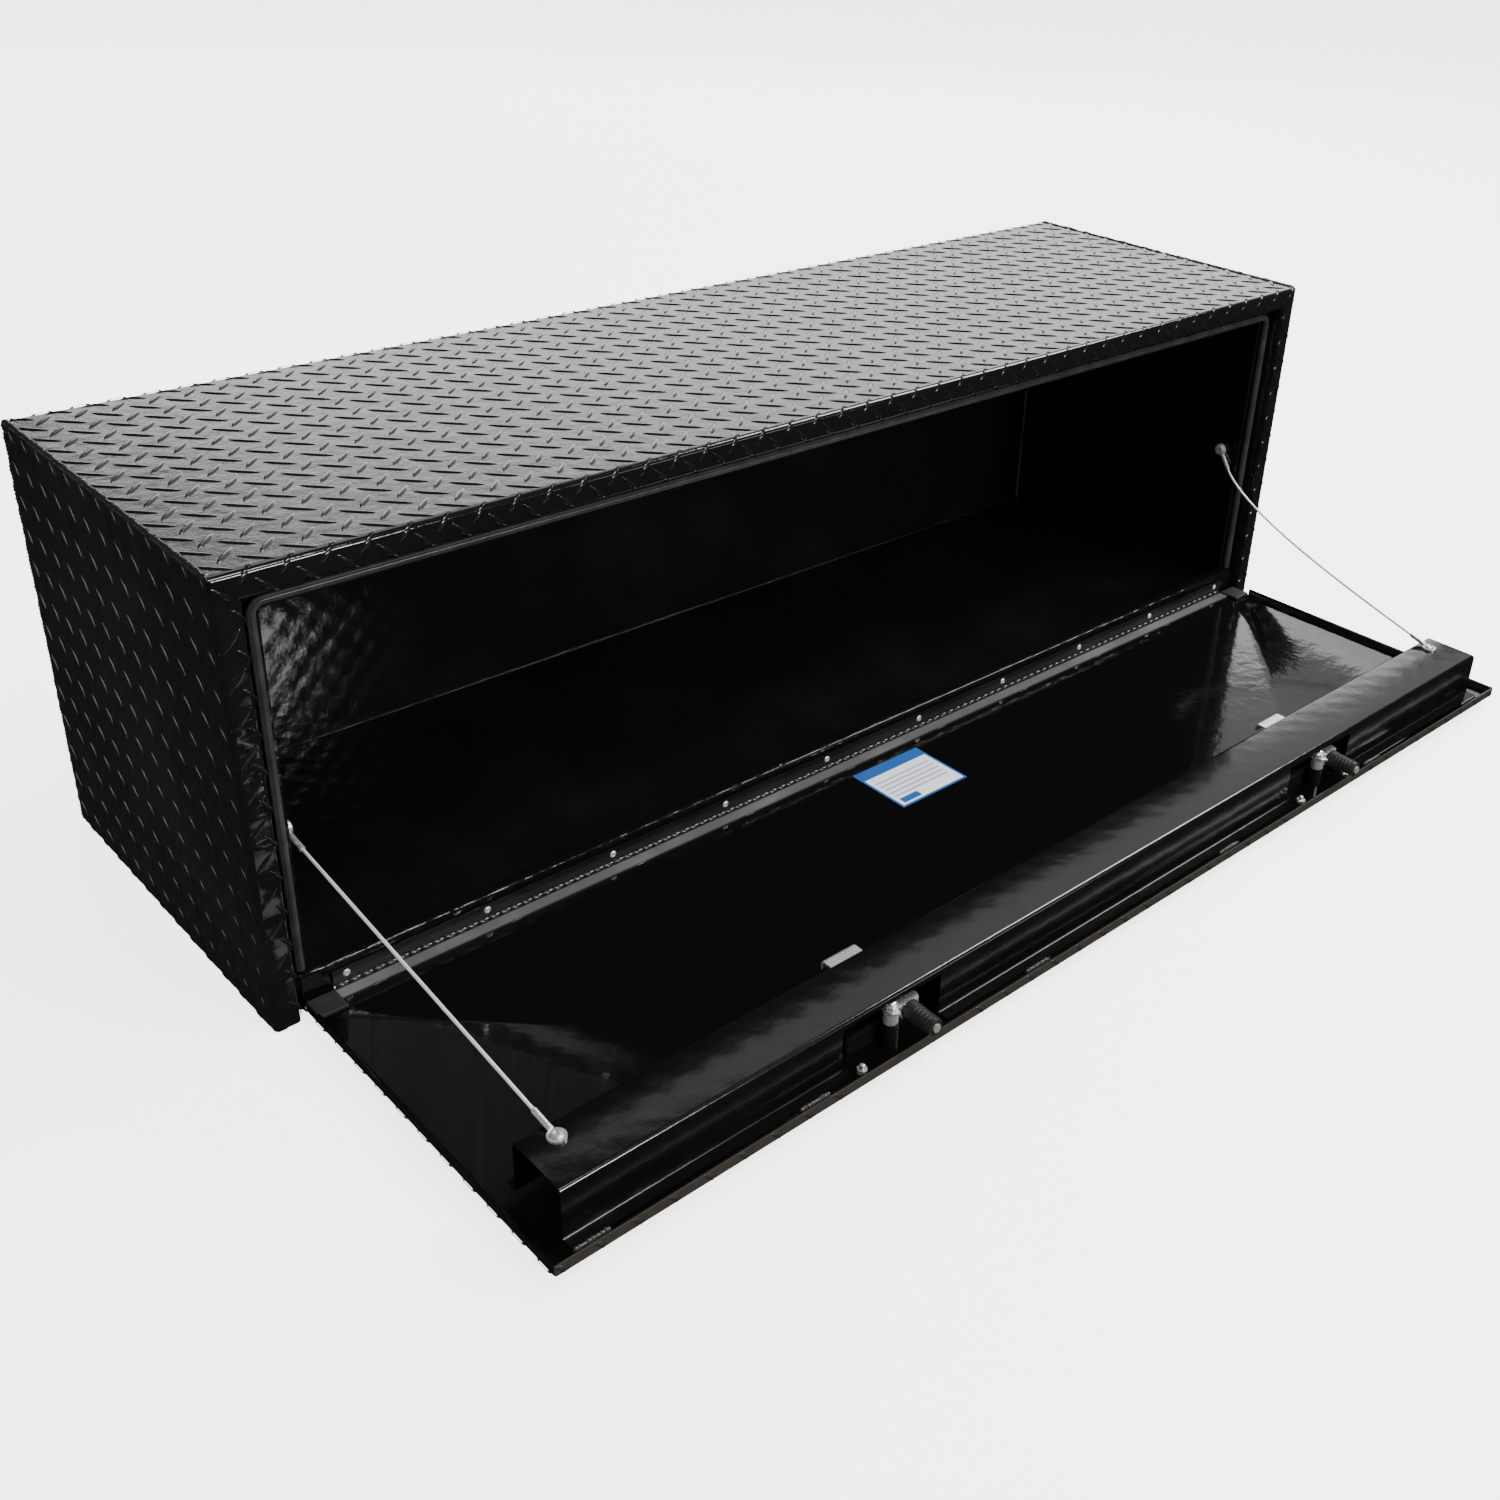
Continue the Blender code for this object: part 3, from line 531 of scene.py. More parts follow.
def stay_route(side, count=34):
    """A cubic curve from one ferrule to the other: its four controls weighted by
    powers of t and 1 - t."""
    upper, lower, leave_upper, leave_lower = stay_ends(side)
    start = upper + leave_upper * (FERRULE_END + GAP)
    end = lower + leave_lower * (FERRULE_END + GAP)
    pull = (end - start).length / 3
    controls = np.array([start, start + leave_upper * (pull - SLACK[side]),
                         end + leave_lower * pull, end])
    t = np.linspace(0.0, 1.0, count)[:, None]
    weights = np.hstack([(1 - t) ** 3, 3 * t * (1 - t) ** 2, 3 * t * t * (1 - t), t ** 3])
    return weights @ controls


def strands(line, radius, count=6, lay=0.020, sides=36):
    """Radius at angle a and distance s = radius * (0.86 + 0.14 * |cos(count / 2 * (a - turn * s))|)."""
    along = np.linspace(0.0, 1.0, len(line)) * np.linalg.norm(np.diff(line, axis=0), axis=1).sum()
    angle = 2 * np.pi * np.arange(sides) / sides
    phase = angle[None] - 2 * np.pi * along[:, None] / lay
    reach = radius * (0.86 + 0.14 * np.abs(np.cos(count / 2 * phase)))
    return np.stack([reach * np.cos(angle), reach * np.sin(angle)], 2)


for side in SIDES:
    route = spaced(stay_route(side), 0.001)
    stay = piece("wire_stay_" + side, *tube(route, strands(route, STAY_THICK / 2)), WIRE.material, 60)
    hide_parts("cable_" + side)
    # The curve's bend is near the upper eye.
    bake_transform(stay)

# %% [markdown]
# ## Folded sheet
# Frame, sill and channel are flat strips bent on a press brake. Each is one
# profile carried along the length. The profile is worked out from the corner
# points: at a bend both faces of the sheet follow arcs about one centre.

# %% Folded sheet
def fold(path, thickness=SHEET, bend=0.0015, steps=8):
    """Both faces of a folded sheet: the path itself, and the path moved left by the thickness.
    A corner's arc has its centre on the bisector, and both faces turn about it, with radii
    bend and bend + thickness."""
    path = np.asarray(path, float)
    heading = np.diff(path, axis=0)
    heading /= np.linalg.norm(heading, axis=1)[:, None]
    left = np.stack([-heading[:, 1], heading[:, 0]], 1)
    near = [path[:1]]
    far = [path[:1] + left[:1] * thickness]
    for k in range(1, len(path) - 1):
        before, after = left[k - 1], left[k]
        cross = before[0] * after[1] - before[1] * after[0]
        angle = math.atan2(cross, float(before @ after)) * np.linspace(0, 1, steps + 1)
        offset = thickness + bend if cross > 0 else -bend
        centre = path[k] + (before + after) * offset / (1 + before @ after)
        normal = np.stack([before[0] * np.cos(angle) - before[1] * np.sin(angle),
                           before[0] * np.sin(angle) + before[1] * np.cos(angle)], 1)
        near.append(centre - normal * offset)
        far.append(centre - normal * (offset - thickness))
    near.append(path[-1:])
    far.append(path[-1:] + left[-1:] * thickness)
    return np.vstack(near), np.vstack(far)


def strip(near, far, place, ends=(0.0, 1.0)):
    """The sheet as a closed solid: place(section, end) gives the points at each end, and
    long faces join them."""
    count = len(near)
    section = np.vstack([near, far[::-1]])
    points = np.vstack([place(section, end) for end in ends])
    faces = quads(len(ends), 2 * count, False, True).tolist()
    for level, flip in ((0, False), (len(ends) - 1, True)):
        base = level * 2 * count
        for k in range(count - 1):
            face = [base + k, base + k + 1, base + 2 * count - 2 - k, base + 2 * count - 1 - k]
            faces.append(face[::-1] if flip else face)
    return points, faces


# %% [markdown]
# ## The front frame
# The top and side sheets turn down into a narrow front flange, step back, and
# turn in again to make the lip that the seal sits on. The top rail and the two
# stiles meet in mitres, so the profile's ends slant: a point that is further
# in from the edge also starts further along.

# %% Front frame
FRAME_BEND = 0.0022
MITRE_GAP = 0.0001
frame_near, frame_far = fold([(0.0, 0.008), (0.0, 0.0), (FLANGE, 0.0), (FLANGE, RECESS),
                              (FLANGE + LIP, RECESS)], bend=FRAME_BEND)
sill_low, sill_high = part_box("frame_sill")


def rail_place(section, end):
    """x = the half length less the inset, to the left at end 0 and to the right at end 1."""
    inset, back = section.T
    x = (2 * end - 1) * (RIGHT - inset - MITRE_GAP)
    return np.stack([x, FRONT + back, TOP - inset], 1)


rail = piece("frame_rail_folded", *strip(frame_near, frame_far, rail_place), RAIL.material, 45,
             "body", ["frame_top_rail"])

for side, sign in SIDES.items():
    def stile_place(section, end):
        """z = from the foot to the top less the inset; the lip's foot stands on the sill."""
        inset, back = section.T
        foot = np.where((inset > FLANGE + 0.0005) & (back > 0.012), sill_high.z, 0.0)
        height = foot + end * (TOP - inset - MITRE_GAP - foot)
        return np.stack([sign * (RIGHT - inset), FRONT + back, height], 1)

    stile = piece("frame_stile_folded_" + side, *strip(frame_near, frame_far, stile_place),
                  FRAME.material, 45, "body", ["frame_stile_" + side])
dress(INSIDE, "frame_sill")
dress(SHELL, "shell_wrap")
dress(ENDS, "end_panel_left", "end_panel_right")
print("frame: one rail and two stiles")

# %% [markdown]
# ## Raised tread
# Tread plate carries rows of raised lens-shaped lugs, alternately leaning
# left and right. They are real relief, a little over a millimetre high, and
# they catch the light, so bump alone would not do. One lug is a small grid in
# flat coordinates (u, v, height). A whole sheet's lugs are made in one array,
# and a track then carries them round the sheet's bends, so that a lug on a
# corner folds over it as it does on the press.

# %% One lug and the track
LUG_LONG, LUG_WIDE, LUG_HIGH = 0.0345, 0.0068, 0.00135
LUG_SUNK = 0.0002
EDGE_REACH = 0.0085
HOLE_MARGIN = 0.008


def lug():
    """s runs along it and t across it, both -1 to 1. Half width = wide / 2 * (1 - |s| ** 2.4),
    and height = high * crown(t) * (1 - s ** 6), sunk a little into the sheet."""
    s = np.array([-1.0, -0.86, -0.5, 0.0, 0.5, 0.86, 1.0])
    t = np.array([-1.0, -0.62, -0.2, 0.2, 0.62, 1.0])
    crown = np.array([0.0, 0.74, 0.98, 0.98, 0.74, 0.0])
    long, wide = np.meshgrid(s, t, indexing="ij")
    across_it = wide * LUG_WIDE / 2 * (1 - np.abs(long) ** 2.4)
    high = crown[None] * LUG_HIGH * (1 - long ** 6) - LUG_SUNK
    points = np.stack([long * LUG_LONG / 2, across_it, high], 2).reshape(-1, 3)
    n, m = len(s), len(t)
    under = [[k * m, (k + 1) * m, (k + 1) * m + m - 1, k * m + m - 1] for k in range(n - 1)]
    return points, np.array(quads(n, m).tolist() + under)


class Track:
    """A line in a plane with its outward direction: distance along it gives both."""

    def __init__(self, line, outward):
        line = np.asarray(line, float)
        keep = np.concatenate([[True], np.linalg.norm(np.diff(line, axis=0), axis=1) > 1e-7])
        self.line = line[keep]
        step = np.diff(self.line, axis=0)
        self.length = np.concatenate([[0.0], np.cumsum(np.linalg.norm(step, axis=1))])
        tangent = step / np.linalg.norm(step, axis=1)[:, None]
        tangent = np.vstack([tangent[:1], tangent[:-1] + tangent[1:], tangent[-1:]])
        tangent /= np.linalg.norm(tangent, axis=1)[:, None]
        self.normal = outward * np.stack([-tangent[:, 1], tangent[:, 0]], 1)

    def at(self, distance, height):
        """The point this far along, lifted by the height."""
        place = [np.interp(distance, self.length, self.line[:, c]) for c in (0, 1)]
        out = [np.interp(distance, self.length, self.normal[:, c]) for c in (0, 1)]
        size = np.hypot(*out)
        return np.stack([place[c] + height * out[c] / size for c in (0, 1)], -1)


def tread(name, width, track, place, body, start, holes=(), finish=CROWN):
    """Lugs over width x track length. Centres step by the cell, and the second set is half a
    cell on and leans the other way. A lug that crosses a cut edge is cut there, and none lies
    near a hole (low u, high u, low v, high v). place(u, points) gives points in space."""
    points, faces = lug()
    centres, leans = [], []
    for lean, shift in ((-1.0, 0.0), (1.0, CELL / 2)):
        u = np.arange(start[0] + shift - 2 * CELL, width + CELL, CELL)
        v = np.arange(start[1] + shift - 2 * CELL, track.length[-1] + CELL, CELL)
        grid = np.stack(np.meshgrid(u, v, indexing="ij"), -1).reshape(-1, 2)
        centres.append(grid)
        leans.append(np.full(len(grid), lean))
    centres, leans = np.vstack(centres), np.concatenate(leans)

    def over(low_u, high_u, low_v, high_v, margin):
        """Which centres lie in a rectangle widened by the margin."""
        return ((centres[:, 0] > low_u - margin) & (centres[:, 0] < high_u + margin)
                & (centres[:, 1] > low_v - margin) & (centres[:, 1] < high_v + margin))

    keep = over(0.0, width, 0.0, track.length[-1], EDGE_REACH)
    for hole in holes:
        keep &= ~over(*hole, HOLE_MARGIN)
    centres, leans = centres[keep], leans[keep]
    half = math.sqrt(0.5)
    u = centres[:, :1] + (points[:, 0] - points[:, 1] * leans[:, None]) * half
    v = centres[:, 1:] + (points[:, 0] * leans[:, None] + points[:, 1]) * half
    h = np.broadcast_to(points[:, 2], u.shape)
    u = np.clip(u, 0.0, width)
    v = np.clip(v, 0.0, track.length[-1])
    spots = place(u.ravel(), track.at(v.ravel(), h.ravel()))
    everything = faces[None] + (np.arange(len(centres)) * len(points))[:, None, None]
    made = piece(name, spots, everything.reshape(-1, 4), finish.material, 50, body)
    print(name, len(centres), "lugs,", len(made.data.polygons), "faces")


# %% [markdown]
# ## Tread on the body
# The top sheet and the front flange are one strip of plate, and so are the
# back and the bottom. Each end sheet carries on round its front corner on to
# the side flange. The tracks follow the outer face of those folds.

# %% Tread on the body
length = RIGHT - LEFT
bent = fold([(BACK - 0.006, TOP), (FRONT, TOP), (FRONT, TOP - FLANGE),
             (FRONT + 0.004, TOP - FLANGE)], bend=FRAME_BEND)[0]
top_track = Track(bent[::-1][1:], 1.0)
top_start = float(top_track.length[-1] - (BACK - 0.006 - FRONT) + 0.018)


def on_top(u, points):
    """(u, the track's two coordinates) = (x from the left, y, z)."""
    return np.stack([LEFT + u, points[:, 0], points[:, 1]], 1)


tread("tread_top", length, top_track, on_top, "body", (0.013, top_start % CELL))
back_track = Track(fold([(BACK, TOP), (BACK, 0.0)], bend=0.0015)[0], 1.0)
tread("tread_back", length, back_track, on_top, "body", (0.020, 0.010))
bottom_track = Track([(BACK - 0.004, 0.0), (FRONT + 0.012, 0.0)], 1.0)
tread("tread_bottom", length, bottom_track, on_top, "body", (0.013, 0.016))

for side, sign in SIDES.items():
    outer = fold([(BACK, RIGHT), (FRONT, RIGHT), (FRONT, RIGHT - FLANGE)], bend=FRAME_BEND)[0]
    end_track = Track(outer, -1.0)

    def on_end(u, points):
        """(u, the track's two coordinates) = (z, y, x), on this side."""
        return np.stack([sign * points[:, 1], points[:, 0], u], 1)

    turn = float(end_track.length[-1]) - FLANGE
    tread("tread_end_" + side, TOP, end_track, on_end, "body", (0.016, 0.012),
          holes=[(TOP - 0.018, TOP + 0.02, turn + 0.010, turn + 0.06)])

# %% [markdown]
# ## The door
# The door is a shallow pan with a low rim, smooth inside and treaded outside.
# The solid model's pan has the right holes but sharp corners. Taking a copy,
# merging it and rounding only its outer bottom edges keeps the holes and
# gives the press brake's bend, which a new mesh would have to repeat.

# %% Door pan
def rounded_copy(name, node, finish, pick, width, segments=4):
    """A merged copy of a node with the picked edges turned into arcs. pick(a, b) is given an
    edge's two ends."""
    work = bmesh.new()
    work.from_mesh(frame["nodes"][node].data)
    bmesh.ops.remove_doubles(work, verts=work.verts, dist=1e-5)
    bmesh.ops.dissolve_limit(work, angle_limit=0.01, verts=work.verts, edges=work.edges)
    chosen = [edge for edge in work.edges if pick(edge.verts[0].co, edge.verts[1].co)]
    bmesh.ops.bevel(work, geom=chosen, offset=width, segments=segments, profile=0.5,
                    affect="EDGES", clamp_overlap=True)
    bmesh.ops.triangulate(work, faces=[face for face in work.faces if len(face.verts) > 4])
    mesh = bpy.data.meshes.new(name)
    work.to_mesh(mesh)
    work.free()
    mesh.shade_smooth()
    mesh.set_sharp_from_angle(angle=math.radians(35))
    mesh.materials.append(finish.material)
    item = bpy.data.objects.new(name, mesh)
    bpy.context.collection.objects.link(item)
    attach(item, frame["nodes"][node]["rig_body"])
    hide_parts(node)
    print(name, "rounded", len(chosen), "edges")
    return item


def on_door_edge(point):
    """True on the pan's two ends and its free edge."""
    near_end = abs(abs(point.x) - DOOR_HIGH.x) < 1e-4
    return near_end or abs(point.y - DOOR_LOW.y) < 1e-4


def door_edge(a, b):
    """True for the bottom edges at the rim and for the upright edges at its two corners."""
    low = abs(a.z - DOOR_LOW.z) < 1e-4 and abs(b.z - DOOR_LOW.z) < 1e-4
    upright = abs(a.x - b.x) < 1e-5 and abs(a.y - b.y) < 1e-5 and abs(abs(a.x) - DOOR_HIGH.x) < 1e-4
    same_side = abs(a.x - b.x) < 1e-4 or abs(a.y - b.y) < 1e-4
    return ((low and same_side and on_door_edge(a) and on_door_edge(b))
            or (upright and abs(a.y - DOOR_LOW.y) < 1e-4))


pan = rounded_copy("door_pan", "door_skin", DOOR, door_edge, 0.003)

rim_line = fold([(DOOR_LOW.y, DOOR_HIGH.z), (DOOR_LOW.y, DOOR_LOW.z), (DOOR_HIGH.y, DOOR_LOW.z)],
                bend=0.0005)[0]
door_track = Track(rim_line[::-1], 1.0)
door_length = DOOR_HIGH.x - DOOR_LOW.x


def on_door(u, points):
    """(u, the track's two coordinates) = (x from the door's left end, y, z)."""
    return np.stack([DOOR_LOW.x + u, points[:, 0], points[:, 1]], 1)


plates = [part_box("latch_dish_" + side) for side in SIDES]
gaps = [(low.x - DOOR_LOW.x, high.x - DOOR_LOW.x, DOOR_HIGH.y - high.y, DOOR_HIGH.y - low.y)
        for low, high in plates]
RIM = coat("door_outside", grey(0.005), 0.20, 0.00012, 0.0004, 0.15)
_, y, _ = RIM.axes()
# The rim's free edge is painted a lighter brownish grey: a painted reflection of the lit floor beside
# it.
rim_floor_reflection = 1 - y.above(DOOR_LOW.y + 0.0020, 0.002)
RIM.set(base_color=RIM.blend(rim_floor_reflection * 0.9, grey(0.005), (0.024, 0.021, 0.017)))
tread("tread_door", door_length, door_track, on_door, "door", (0.010, 0.020), holes=gaps, finish=RIM)

# %% [markdown]
# ## The channel
# A hat-shaped channel stiffens the door and hides the latches. It is one
# folded strip, but at each latch its far wall is cut away. So the strip is
# made in two parts: the near wall with the top runs the whole length, and the
# far wall with its foot is made in the stretches between the cut-outs.

# %% Channel
FACE = DOOR_LOW.z
CH_LOW, CH_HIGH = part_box("latch_channel")
CH_TOP, CH_FOOT = CH_HIGH.z, CH_LOW.z
near_wall = HINGE_Y - 0.320
far_wall = HINGE_Y - 0.3885
CH_SHEET = 0.002
WINDOW_TOP = FACE + 0.050
CUT_HALF = 0.062


def along_x(x_low, x_high):
    """Places a (y, z) section at both ends of a stretch along X."""
    def place(section, end):
        """x = low at end 0 and high at end 1."""
        x_here = np.full(len(section), x_low + (x_high - x_low) * end)
        return np.stack([x_here, section[:, 0], section[:, 1]], 1)
    return place


FOOT_WIDE = 0.012
hat = fold([(near_wall + FOOT_WIDE, CH_FOOT + CH_SHEET), (near_wall, CH_FOOT + CH_SHEET),
            (near_wall, CH_TOP), (far_wall, CH_TOP), (far_wall, WINDOW_TOP)], CH_SHEET, 0.0025)
skirt = fold([(far_wall, WINDOW_TOP), (far_wall, CH_FOOT + CH_SHEET),
              (far_wall - FOOT_WIDE, CH_FOOT + CH_SHEET)], CH_SHEET, 0.0015)
parts = [strip(*hat, along_x(CH_LOW.x, CH_HIGH.x))]
cuts = [CH_LOW.x, -LATCH_X - CUT_HALF, -LATCH_X + CUT_HALF, LATCH_X - CUT_HALF, LATCH_X + CUT_HALF,
        CH_HIGH.x]
for start, stop in zip(cuts[::2], cuts[1::2]):
    parts.append(strip(*skirt, along_x(start, stop)))
channel = piece("channel_folded", *merged(parts), CHANNEL.material, 40, "door", ["latch_channel"])

# %% [markdown]
# ## The seal
# A bulb seal runs up both sides of the mouth and across its top. It is an
# extrusion, so it is a section carried along a line: a round bulb with a
# shallow groove on each side where the bulb meets its base.

# %% Seal
BULB = 0.0045
SEAL_BEND = 0.012


def bulb(radius, sides=28):
    """Radius at angle a = radius * (1 - 0.16 * groove(a)), with a groove on each side of the
    base, 128 and 232 degrees round."""
    angle = 2 * np.pi * np.arange(sides) / sides
    groove = sum(np.exp(-((angle - at) / 0.22) ** 2) for at in (math.radians(128), math.radians(232)))
    reach = radius * (1 - 0.16 * groove)
    return np.stack([reach * np.cos(angle), reach * np.sin(angle)], 1)


seal_low, seal_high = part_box("door_seal")
side_x, seal_top = seal_high.x - BULB, seal_high.z - BULB
depth = (seal_low.y + seal_high.y) / 2
corner_turn = np.linspace(0, math.pi / 2, 9)
right_corner = np.stack([side_x - SEAL_BEND + SEAL_BEND * np.sin(corner_turn), np.full(9, depth),
                         seal_top - SEAL_BEND + SEAL_BEND * np.cos(corner_turn)], 1)
left_corner = right_corner[::-1] * [-1, 1, 1]
seal_line = np.vstack([[(-side_x, depth, seal_low.z)], left_corner, right_corner,
                       [(side_x, depth, seal_low.z)]])
seal = piece("bulb_seal", *tube(seal_line, bulb(BULB)), SEAL.material, 50, "body", ["door_seal"])
print("seal and channel made")

# %% [markdown]
# ## The hinge
# A continuous hinge is two strips rolled round one pin. The knuckles are
# 12.7 mm long and alternate between the leaves, which makes the ticked line
# along the sill. Every knuckle is the same short ring, so all of one leaf's
# rings come from one array of ring points moved along X.

# %% Hinge
HINGE_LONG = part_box("hinge_pin")[1].x
KNUCKLE = 0.0127


def rolled(first):
    """Rings of radius 3 mm with a bore of radius 1.7 mm. Knuckle k starts at k * 12.7 mm from
    the line's left end, and every second one is made."""
    count = int(2 * HINGE_LONG / KNUCKLE)
    starts = -count * KNUCKLE / 2 + KNUCKLE * np.arange(first, count, 2)
    profile = [(0.0017, 0.0002), (0.0028, 0.0002), (0.0030, 0.0005), (0.0030, KNUCKLE - 0.0005),
               (0.0028, KNUCKLE - 0.0002), (0.0017, KNUCKLE - 0.0002)]
    points, faces = turned(profile, (0, HINGE_Y, HINGE_Z), (1, 0, 0), 14, ring=True)
    points = points.reshape(-1, 3)
    moved = points[None] + np.stack([starts, 0 * starts, 0 * starts], 1)[:, None]
    everything = faces[None] + (np.arange(len(starts)) * len(points))[:, None, None]
    return moved.reshape(-1, 3), everything.reshape(-1, 4)


leaf_back = HINGE_Y + 0.0015
LEAF_THICK = 0.0015
whole_hinge = along_x(-HINGE_LONG, HINGE_LONG)
body_leaf = strip(*fold([(leaf_back, HINGE_Z + 0.0022), (leaf_back, 0.0335)], LEAF_THICK),
                  whole_hinge)
leaf_top = HINGE_Z - 0.0030 + LEAF_THICK
door_leaf = strip(*fold([(HINGE_Y - 0.0022, leaf_top), (HINGE_Y - 0.015, leaf_top)], LEAF_THICK),
                  whole_hinge)
upper = piece("hinge_upper", *merged([body_leaf, rolled(0)]), LEAF.material, 35, "body",
              ["hinge_body_leaf"])
WORN = coat("hinge_worn", (0.075, 0.073, 0.070), 0.42, 0.00006, 0.0004, 0.5)
lower = piece("hinge_lower", *door_leaf, WORN.material, 35, "door", ["hinge_door_leaf"])
rolls = piece("hinge_lower_knuckles", *rolled(1), LEAF.material, 35, "door")
dress(ZINC, "hinge_pin")

# %% [markdown]
# ## Rivets
# The hinge is held by ten pop rivets. A pop rivet's head is a low dome on a
# thin flange, with the broken end of its pulling pin in a small dimple. That
# is one profile turned about the rivet's axis.

# %% Rivets
RIVET_HEAD = [(0.0, 0.0018), (0.0010, 0.0018), (0.0011, 0.0012), (0.0015, 0.0019), (0.0021, 0.0023),
              (0.0030, 0.0020), (0.0039, 0.0012), (0.0046, 0.0005), (0.0046, 0.0), (0.0, 0.0)]
RIVETS = ["hinge_rivet_%02d" % number for number in range(1, 11)]
for name in RIVETS:
    low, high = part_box(name)
    centre = ((low.x + high.x) / 2, leaf_back - GAP, (low.z + high.z) / 2)
    head = piece(name + "_head", *turned(RIVET_HEAD, centre, (0, -1, 0), 20), BRIGHT.material, 50,
                 "body")
dress(BRIGHT, *RIVETS)
print("hinge with", int(2 * HINGE_LONG / KNUCKLE), "knuckles and ten rivets")

# %% [markdown]
# ## Latch hardware
# Each latch is a zinc cam plate on a spindle. A bolt through it carries a
# rubber sleeve that presses behind the frame's lip. The sleeve is moulded
# with a taper and fine ridges at its tip, so it is turned from a profile, and
# the nuts are hexagons with turned chamfers. A round-headed bolt holds each
# wire stay's lower eye on the channel.

# %% Latch hardware
UP = (0, 0, 1)


def hex_nut(name, node):
    """A hexagon with a bore, whose corners are drawn in at its top and bottom."""
    low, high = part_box(node)
    centre = np.array([(low.x + high.x) / 2, (low.y + high.y) / 2, low.z])
    radius = (high.x - low.x) / 2
    tall = high.z - low.z
    bore = radius * 0.52
    profile = [(bore, 0.0), (radius * 0.90, 0.0), (radius, 0.0004), (radius, tall - 0.0006),
               (radius * 0.86, tall), (bore * 1.12, tall), (bore, tall - 0.0004)]
    made = piece(name, *turned(profile, centre, UP, 24, ring=True, corners=6), ZINC.material, 30,
                 frame["nodes"][node]["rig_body"], [node])


def thread(name, centre, radius, start, stop, body, pitch=0.0008):
    """Radius at height h = radius * (1 - 0.10 * saw(h / pitch)), from start to stop, where saw
    runs from 0 to 1 and back in each pitch. The last three rings are drawn in as a chamfer."""
    heights = np.linspace(start, stop, int((stop - start) / pitch * 4) + 1)
    saw = np.abs((heights / pitch) % 1.0 - 0.5) * 2
    reach = radius * (1 - 0.10 * saw)
    reach[-3:] *= (0.97, 0.90, 0.80)
    profile = [(0.0, heights[0])] + list(zip(reach, heights)) + [(0.0, heights[-1])]
    made = piece(name, *turned(profile, centre, UP, 16), ZINC.material, 60, body)


SLEEVE_PROFILE = [(0.0046, 0.0052), (0.0095, 0.0052), (0.0101, 0.0060), (0.0101, 0.0110),
                  (0.0097, 0.0150)]
for ridge in range(5):
    at = 0.0165 + ridge * 0.0042
    wide_r = 0.0097 - ridge * 0.00022
    SLEEVE_PROFILE += [(wide_r, at), (wide_r - 0.0007, at + 0.0006),
                       (wide_r - 0.0007, at + 0.0014), (wide_r - 0.0001, at + 0.0020)]
SLEEVE_PROFILE += [(0.0086, 0.0380), (0.0084, 0.0396), (0.0076, 0.0400), (0.0046, 0.0400)]
for side, sign in SIDES.items():
    latch = "latch_" + side
    low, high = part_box("strike_bolt_" + side)
    root = np.array([(low.x + high.x) / 2, LATCH_Y, (low.z + high.z) / 2])
    sleeve = piece("ridged_sleeve_" + side, *turned(SLEEVE_PROFILE, root, (0, -1, 0), 28, ring=True),
                   SLEEVE.material, 30, latch, ["bolt_sleeve_" + side])
    hex_nut("cam_hex_" + side, "cam_nut_" + side)
    for hand in "ab":
        node = "dish_nut_%s_%s" % (side, hand)
        hex_nut("stud_hex_%s_%s" % (side, hand), node)
        low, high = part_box(node)
        stud = ((low.x + high.x) / 2, (low.y + high.y) / 2, low.z)
        thread("stud_thread_%s_%s" % (side, hand), stud, 0.00262, 0.001, 0.0086, "door")
    spindle_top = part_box("spindle_" + side)[1].z
    thread("spindle_thread_" + side, (sign * LATCH_X, LATCH_Y, spindle_top - 0.0065), 0.0042,
           0.0, 0.0074, latch)
    dress(ZINC, "spindle_" + side, "cam_plate_" + side, "strike_bolt_" + side, "handle_pin_" + side)
    dress(ZINC, "tie_bracket_" + side, "cable_anchor_" + side, "cable_eye_upper_" + side,
          "cable_eye_lower_" + side)
    dress(DISH, "latch_dish_" + side, "t_handle_" + side)
    dress(INSIDE, "cable_bracket_" + side)
    low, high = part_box("door_bolt_" + side)
    top = high.z - 0.0042
    head = [(0.0, low.z), (0.0029, low.z), (0.0029, top), (0.0056, top), (0.0058, top + 0.0010),
            (0.0046, top + 0.0021), (0.0030, top + 0.0024), (0.0022, top + 0.0011),
            (0.0, top + 0.0009)]
    centre = ((low.x + high.x) / 2, (low.y + high.y) / 2, 0.0)
    bolt = piece("stay_bolt_" + side, *turned(head[::-1], centre, UP, 24), ZINC.material, 30, "door",
                 ["door_bolt_" + side])
PAD = rubber("corner_pad_rubber", 0.012, 0.5)
dress(PAD, "corner_pad_left", "corner_pad_right")
print("latches dressed")

# %% [markdown]
# ## Welds
# The sheets are welded along the inside corners and the top's ends, and the
# channel is stitched to the door with short beads. A weld is a row of small
# overlapping ripples under the coat, so it is a thin tube whose radius
# pulses along its length and wanders a little, half sunk in the corner. The
# sill's rounded front bend is made the same way, with long slow pulses.

# %% Welds
def bead(start, stop, radius, ripple=0.0042, seed=1):
    """Radius at distance s = radius * (0.72 + 0.28 * |sin(pi s / ripple)|) * taper(s) * (1 + noise)."""
    line = spaced([start, stop], ripple / 5)
    n = len(line)
    length = float(np.linalg.norm(line[-1] - line[0]))
    s = np.linspace(0.0, length, n)
    wobble = np.random.default_rng(seed).normal(0.0, 1.0, n)
    wobble = np.convolve(wobble, np.ones(9) / 9, "same")
    taper = np.sqrt(np.clip(1 - np.abs(2 * s / length - 1) ** max(4.0, length / 0.004), 0.02, 1))
    reach = radius * (0.72 + 0.28 * np.abs(np.sin(np.pi * s / ripple))) * taper * (1 + 0.35 * wobble)
    return tube(line, circle(1.0, 10)[None] * reach[:, None, None])


